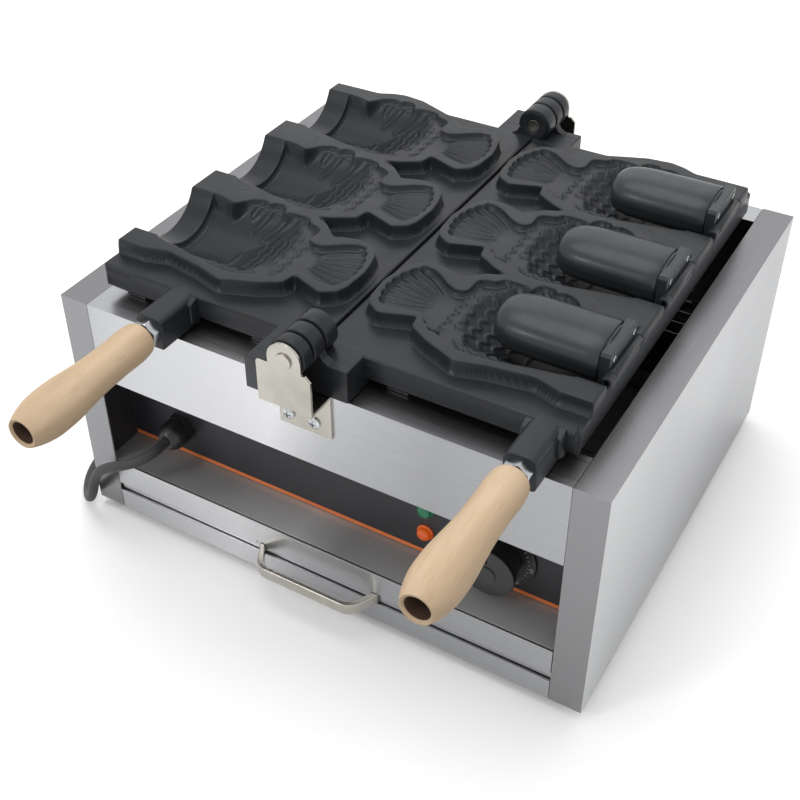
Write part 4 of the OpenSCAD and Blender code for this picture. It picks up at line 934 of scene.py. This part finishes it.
def makeCore(number):
    place = fishPlaces[number - 1]
    around = core["around"]
    stations = [0, 0.001, 0.003] + [0.5 * (i / 30) ** 2 for i in range(3, 31)]
    stations += [0.62, 0.75, 0.88, 0.985]
    rings = []
    for t in stations:
        x = core["nose"] + (core["bodyEnd"] - core["nose"]) * t
        rings.append([(x, place + v, hingeZ + z) for v, z in
                      (coreSection(t, 360 * k / around) for k in range(around))])
    # the rounded back edge of the body
    rings.append([(core["bodyEnd"], place + v * 0.975, hingeZ + z * 0.965) for v, z in
                  (coreSection(1, 360 * k / around) for k in range(around))])
    points = [p for ring in rings for p in ring]
    faces = [[i * around + k, i * around + (k + 1) % around, (i + 1) * around + (k + 1) % around,
              (i + 1) * around + k] for i in range(len(rings) - 1) for k in range(around)]
    faces.append(list(range(around)))
    faces.append([(len(rings) - 1) * around + k for k in range(around)])
    body = newPiece("coreBody", points, faces, coreCoat, 50)
    neck = [(v * 0.9 + place, hingeZ + z * 0.9) for v, z in
            (coreSection(1, 15 * k) for k in range(24))]
    pieces = [body, prism("coreNeck", neck, core["bodyEnd"] - 1, core["plateX"] + 1, axis="x")]
    half, top = core["plateHalf"], core["plateTop"]
    # the plate's lower edge follows the mouth, with a small gap
    radius = mouthRadius - core["mouthGap"]
    centre = jointZ + mouthRadius - mold["mouthDepth"]
    arc = [(place + half * k / 10, centre - math.sqrt(radius ** 2 - (half * k / 10) ** 2))
           for k in range(-10, 11)]
    outline = arc + [(place + half, hingeZ + top - 2), (place + half - 2, hingeZ + top),
                     (place - half + 2, hingeZ + top), (place - half, hingeZ + top - 2)]
    pieces.append(prism("corePlate", outline, core["plateX"], core["faceX"], 0.6, 3, "x", coreCoat))
    r, b = core["barrel"], core["bore"]
    profile = [(b, -half), (r - 0.5, -half), (r, -half + 0.5), (r, half - 0.5), (r - 0.5, half),
               (b, half), (b, -half)]
    pin = (core["pinX"], place, core["pinZ"])
    pieces.append(lathe("coreBarrel", pin, profile, castCoat, "y", 48, 50))
    web = [(core["faceX"] - 1, core["pinZ"]), (core["faceX"] - 1, core["pinZ"] + 2.8),
           (core["pinX"] + 1, core["pinZ"] + 2.8), (core["pinX"] + 1, core["pinZ"])]
    pieces.append(prism("coreWeb", web, place - half + 0.3, place + half - 0.3, 0.4))
    for side in (-1, 1):
        seat = (core["faceX"], place + side * (half - 6), hingeZ + 7.4)
        ring = [(3.5, -0.5), (3.5, 0.05), (2.9, 0.25), (2.9, 0.1), (2.7, 0.02), (0, 0.02)]
        pieces.append(lathe("coreScrewSeat", seat, ring, castCoat, "x", 32, 30))
        head = [(2.3, -0.2), (2.3, 0.5), (1.9, 0.75), (1.15, 0.75), (1.15, 0.1), (0, 0.1)]
        pieces.append(lathe("coreScrew", seat, head, zincPlate, "x", 24, 30))
    mountPiece(join(f"mouthCore{number}Finished", pieces), f"core_{number}",
               f"mouth_core_{number}")


for number in (1, 2, 3):
    makeCore(number)
    fromCad(f"core_pin_{number}", zincPlate, "right_half", 0.3)
print("cores made")

# handles

grip = {"turning": [
    (0, 0.62), (0.012, 0.72), (0.05, 0.79), (0.12, 0.82), (0.24, 0.8), (0.42, 0.825), (0.58, 0.925),
    (0.66, 0.98), (0.76, 1), (0.84, 0.975), (0.91, 0.88), (0.96, 0.77), (0.99, 0.68), (1, 0.645)],
    "bore": 8.0, "boreDepth": 30.0, "rodHole": 5.2}


def makeGrip(name, x, body, node):
    length, radius = handle["gripLength"], handle["gripRadius"]
    outside = [(min(p[1], 1) * radius, -min(max(p[0], 0), 1) * length)
               for p in smoothLine(grip["turning"], 6)]
    b, d = grip["bore"], grip["boreDepth"]
    inside = [(b + 1.7, -length), (b + 0.6, -length + 0.5), (b, -length + 1.4), (b, -length + d),
              (grip["rodHole"], -length + d), (grip["rodHole"], 0), outside[0]]
    piece = lathe(name, (x, handle["gripRoot"], handle["z"]), outside + inside, beech, "y", 96, 40)
    # the bored hole is painted dark brown as painted shade
    piece.data.materials.append(shadedBoreBeech)
    axis = spot(x, 0, handle["z"])
    for face in piece.data.polygons:
        if math.hypot(face.center.x - axis.x, face.center.z - axis.z) < (b + 0.25) * 0.001:
            face.material_index = 1
    mountPiece(piece, body, node)


makeGrip("leftWoodenGrip", -handle["left"], "left_half", "left_handle_grip")
makeGrip("rightWoodenGrip", handle["right"], "right_half", "right_handle_grip")
for side in ("left", "right"):
    for part, material in (("handle_rod", zincPlate), ("handle_nuts", zincPlate),
                           ("heating_element", heaterSkin), ("element_cover", sheetBack),
                           ("cover_screws", zincPlate)):
        fromCad(f"{side}_{part}", material, f"{side}_half", 0.35)
print("handles made")

# cabinet

for node, material, width in (
        ("left_side_panel", sheetBack, 0.55), ("right_side_panel", sheetBack, 0.55),
        ("front_fascia", sheetAcross, 0.5), ("back_panel", sheetAcross, 0.0),
        ("base_pan", sheetAcross, 0.5), ("recess_floor", sheetRecess, 0.4),
        ("control_panel", panelPaint, 0.4), ("control_box", sheetAcross, 0.4),
        ("panel_stripe", stripeInk, 0.0), ("drawer_runners", sheetBack, 0.3),
        ("rubber_feet", footRubber, 0.6), ("cabinet_screws", zincPlate, 0.2),
        ("thermostat_body", phenolic, 0.5), ("terminal_block", ceramic, 0.5),
        ("cord_gland", knobPlastic, 0.5), ("thermostat_bezel", dialPlastic, 0.5),
        ("power_lamp", greenLens, 0.2), ("heat_lamp", orangeLens, 0.2),
        ("front_hinge_bracket", nickelSteel, 0.35), ("rear_hinge_bracket", nickelSteel, 0.35),
        ("bracket_screws", zincPlate, 0.2), ("front_hinge_pin", nickelSteel, 0.5),
        ("rear_hinge_pin", nickelSteel, 0.5)):
    fromCad(node, material, "cabinet", width)
fromCad("crumb_drawer", sheetAcross, "drawer", 0.5)
fromCad("drawer_handle", nickelSteel, "drawer", 0.9, 3)
fromCad("drawer_handle_screws", zincPlate, "drawer", 0.2)
fromCad("thermostat_knob", knobPlastic, "knob", 0.6, 3)
print("cabinet made")

# what repeats: louvre hoods on the back and the ticks of the dial, made with Geometry Nodes


def newTree(name, inputs):
    # a geometry tree with named inputs, given as (name, kind, value)
    tree = bpy.data.node_groups.new(name, "GeometryNodeTree")
    tree.interface.new_socket("Geometry", in_out="OUTPUT", socket_type="NodeSocketGeometry")
    for label, kind, value in inputs:
        socket = tree.interface.new_socket(label, in_out="INPUT", socket_type="NodeSocket" + kind)
        socket.default_value = value
    return tree, addNode(tree, "NodeGroupInput").outputs


def endTree(tree, shape, material):
    solid = addNode(tree, "GeometryNodeRealizeInstances", None, {"Geometry": shape})
    painted = addNode(tree, "GeometryNodeSetMaterial", {"Material": material},
                      {"Geometry": solid.outputs[0]})
    addNode(tree, "NodeGroupOutput", None, {"Geometry": painted.outputs[0]})


def grow(name, tree, values, material):
    # the tree's result as a plain mesh
    piece = addObject(name, bpy.data.meshes.new(name))
    nodes = piece.modifiers.new("nodes", "NODES")
    nodes.node_group = tree
    for item in tree.interface.items_tree:
        if item.in_out == "INPUT" and item.name in values:
            nodes[item.identifier] = values[item.name]
    applyModifiers(piece)
    piece.data.materials.clear()
    piece.data.materials.append(material)
    settle(piece)
    return piece


hood = {"rows": 5, "pitch": 12.0, "width": 74.0, "depth": 5.2, "height": 8.2, "x": 110.0,
        "y": 365.4, "z": 70.4}


def makeHoods():
    tree, given = newTree("louvreHoods", [("Rows", "Int", 5), ("Pitch", "Float", 0.012),
                                          ("Size", "Vector", (0.07, 0.005, 0.008)),
                                          ("Left", "Vector", (0, 0, 0)),
                                          ("Right", "Vector", (0, 0, 0))])
    step = addNode(tree, "ShaderNodeCombineXYZ", None, {"Z": given["Pitch"]}).outputs[0]
    box = addNode(tree, "GeometryNodeMeshCube", None, {"Size": given["Size"]}).outputs[0]
    soft = addNode(tree, "GeometryNodeSubdivisionSurface", {"Level": 3, "Edge Crease": 0.62},
                   {"Mesh": box}).outputs[0]
    both = addNode(tree, "GeometryNodeJoinGeometry")
    for side in ("Left", "Right"):
        line = addNode(tree, "GeometryNodeMeshLine", None, {
            "Count": given["Rows"], "Start Location": given[side], "Offset": step})
        row = addNode(tree, "GeometryNodeInstanceOnPoints", None, {"Points": line.outputs[0],
                                                                   "Instance": soft})
        tree.links.new(row.outputs[0], both.inputs[0])
    endTree(tree, both.outputs[0], sheetAcross)
    size = [hood[k] * 0.001 for k in ("width", "depth", "height")]
    piece = grow("louvreHoods", tree, {
        "Rows": hood["rows"], "Pitch": hood["pitch"] * 0.001, "Size": size,
        "Left": spot(-hood["x"], hood["y"], hood["z"]),
        "Right": spot(hood["x"], hood["y"], hood["z"])}, sheetAcross)
    mountPiece(piece, "cabinet")


dial = {"x": 128.0, "y": 32.94, "z": 88.0, "first": 235.0, "sweep": 290.0, "ticks": 31,
        "tickRadius": 22.3, "tick": (1.5, 0.34, 0.14), "numbers": (0, 50, 100, 150, 200, 250, 300),
        "numberRadius": 23.6, "numberSize": 3.1, "numberDepth": 0.05}


def makeDial():
    # white ticks along an arc, and plain numbers outside them
    tree, given = newTree("dialTicks", [("Radius", "Float", 0.02), ("Start", "Float", 0.0),
                                        ("Sweep", "Float", 1.0), ("Ticks", "Int", 31),
                                        ("Size", "Vector", (0.001, 0.001, 0.001)),
                                        ("Centre", "Vector", (0, 0, 0))])
    arc = addNode(tree, "GeometryNodeCurveArc", None, {
        "Resolution": given["Ticks"], "Radius": given["Radius"], "Start Angle": given["Start"],
        "Sweep Angle": given["Sweep"]}).outputs[0]
    along = addNode(tree, "GeometryNodeInputTangent").outputs[0]
    turned = addNode(tree, "FunctionNodeAlignRotationToVector", None, {"Vector": along},
                     axis="Y").outputs[0]
    tick = addNode(tree, "GeometryNodeMeshCube", None, {"Size": given["Size"]}).outputs[0]
    row = addNode(tree, "GeometryNodeInstanceOnPoints", None, {"Points": arc, "Instance": tick,
                                                               "Rotation": turned}).outputs[0]
    stood = addNode(tree, "GeometryNodeTransform", {"Rotation": (math.pi / 2, 0, 0)},
                    {"Geometry": row, "Translation": given["Centre"]}).outputs[0]
    endTree(tree, stood, dialInk)
    centre = spot(dial["x"], dial["y"], dial["z"])
    pieces = [grow("dialTicks", tree, {
        "Radius": dial["tickRadius"] * 0.001, "Start": math.radians(dial["first"] - dial["sweep"]),
        "Sweep": math.radians(dial["sweep"]), "Ticks": dial["ticks"],
        "Size": [v * 0.001 for v in dial["tick"]], "Centre": centre}, dialInk)]
    for i, number in enumerate(dial["numbers"]):
        turn = dial["first"] - dial["sweep"] * i / (len(dial["numbers"]) - 1)
        words = bpy.data.curves.new("number", "FONT")
        words.body = str(number)
        words.size = dial["numberSize"] * 0.001
        words.extrude = dial["numberDepth"] * 0.001
        words.align_x = "CENTER"
        words.resolution_u = 2
        piece = addObject("number", words)
        flat = bpy.data.meshes.new_from_object(
            piece.evaluated_get(bpy.context.evaluated_depsgraph_get()))
        bpy.data.objects.remove(piece)
        out = dial["numberRadius"] * 0.001
        flat.transform(Matrix.Translation(centre) @ Matrix.Rotation(math.pi / 2, 4, "X")
                       @ Matrix.Rotation(math.radians(turn - 90), 4, "Z")
                       @ Matrix.Translation((0, out, 0)))
        flat.materials.clear()
        flat.materials.append(dialInk)
        pieces.append(addObject("number", flat))
    mountPiece(join("dialMarks", pieces), "cabinet")


makeHoods()
makeDial()
print("hoods and dial made")

# floor, light and backdrop


def seenDirectly(tree):
    # 1 for rays that show the background: camera, glossy and transmission
    path = addNode(tree, "ShaderNodeLightPath").outputs
    seen = path["Is Camera Ray"]
    for kind in ("Is Glossy Ray", "Is Transmission Ray"):
        seen = addNode(tree, "ShaderNodeMath", None, {0: seen, 1: path[kind]},
                       operation="MAXIMUM").outputs[0]
    return seen


studio = {"floorTone": "#8c8c8c", "floorSize": 6.0, "floorDrop": 0.0005, "lift": 0.14,
          "liftFrom": 0.22, "liftTo": 0.5, "horizon": 0.5, "overhead": 1.0, "overheadFrom": 0.9}


def makeFloor():
    # white to the eye and in metal, with the object's shadow, and a mid grey for bounced light
    material = bpy.data.materials.new("paleFloor")
    material.use_nodes = True
    tree = material.node_tree
    shader = tree.nodes["Principled BSDF"]
    seen = seenDirectly(tree)
    tone = addNode(tree, "ShaderNodeMix", {6: colour(studio["floorTone"]), 7: colour("#ffffff")},
                   {0: seen}, data_type="RGBA").outputs[2]
    tree.links.new(tone, shader.inputs["Base Color"])
    shader.inputs["Emission Color"].default_value = colour("#ffffff")
    # nothing is lifted under the object, where its slots would show it
    where = addNode(tree, "ShaderNodeTexCoord").outputs["Object"]
    away = addNode(tree, "ShaderNodeVectorMath", None, {0: where}, operation="LENGTH")
    clear = addNode(tree, "ShaderNodeMapRange", {
        "From Min": studio["liftFrom"], "From Max": studio["liftTo"], "To Max": studio["lift"]},
        {"Value": away.outputs["Value"]}).outputs[0]
    lift = addNode(tree, "ShaderNodeMath", None, {0: seen, 1: clear}, operation="MULTIPLY")
    tree.links.new(lift.outputs[0], shader.inputs["Emission Strength"])
    shader.inputs["Roughness"].default_value = 0.9
    mesh = bpy.data.meshes.new("floor")
    size = studio["floorSize"]
    mesh.from_pydata([(-size, -size, 0), (size, -size, 0), (size, size, 0), (-size, size, 0)], [],
                     [(0, 1, 2, 3)])
    mesh.materials.append(material)
    floor = addObject("floor", mesh)
    floor.location = (0, 0, -studio["floorDrop"])


def makeWorld():
    # brightest overhead and dim near the horizon, so that walls stay darker than tops
    world = bpy.data.worlds.new("studio")
    world.use_nodes = True
    tree = world.node_tree
    tree.nodes.clear()
    where = addNode(tree, "ShaderNodeTexCoord").outputs["Generated"]
    height = addNode(tree, "ShaderNodeSeparateXYZ", None, {"Vector": where}).outputs["Z"]
    rise = addNode(tree, "ShaderNodeMapRange", {
        "From Min": 0, "From Max": studio["overheadFrom"], "To Min": studio["horizon"],
        "To Max": studio["overhead"]}, {"Value": height}).outputs[0]
    light = addNode(tree, "ShaderNodeBackground", {"Color": (1, 1, 1, 1)}, {"Strength": rise})
    plain = addNode(tree, "ShaderNodeBackground", {"Color": (1, 1, 1, 1), "Strength": 1.0})
    mix = addNode(tree, "ShaderNodeMixShader", None, {0: seenDirectly(tree), 1: light.outputs[0],
                                                      2: plain.outputs[0]})
    addNode(tree, "ShaderNodeOutputWorld", None, {"Surface": mix.outputs[0]})
    bpy.context.scene.world = world


# area lamps in metres and watts; all of them aim at the object
lamps = {
    "topSoftbox": {"place": (-0.3, 0.2, 2.0), "aim": (0, 0, 0.2), "size": (1.4, 1.2), "power": 12},
    "backSoftbox": {"place": (-0.5, 1.7, 1.4), "aim": (0, 0, 0.2), "size": (1.8, 0.8), "power": 3},
    "glint": {"place": (-0.8, -1.5, 1.3), "aim": (0, 0, 0.2), "size": (0.4, 0.4), "power": 6},
    "rightCard": {"place": (1.9, -0.1, 0.7), "aim": (0.1, 0, 0.15), "size": (1.4, 1.0),
                  "power": 2.5}}


def addLamp(name, settings):
    data = bpy.data.lights.new(name, "AREA")
    data.shape = "RECTANGLE"
    data.size, data.size_y = settings["size"]
    data.energy = settings["power"]
    lamp = addObject(name, data)
    lamp.location = settings["place"]
    aim = Vector(settings["aim"]) - Vector(settings["place"])
    lamp.rotation_euler = aim.to_track_quat("-Z", "Y").to_euler()


makeFloor()
makeWorld()
for name, settings in lamps.items():
    addLamp(name, settings)
bpy.context.scene.view_settings.view_transform = "Standard"
print("stage made")
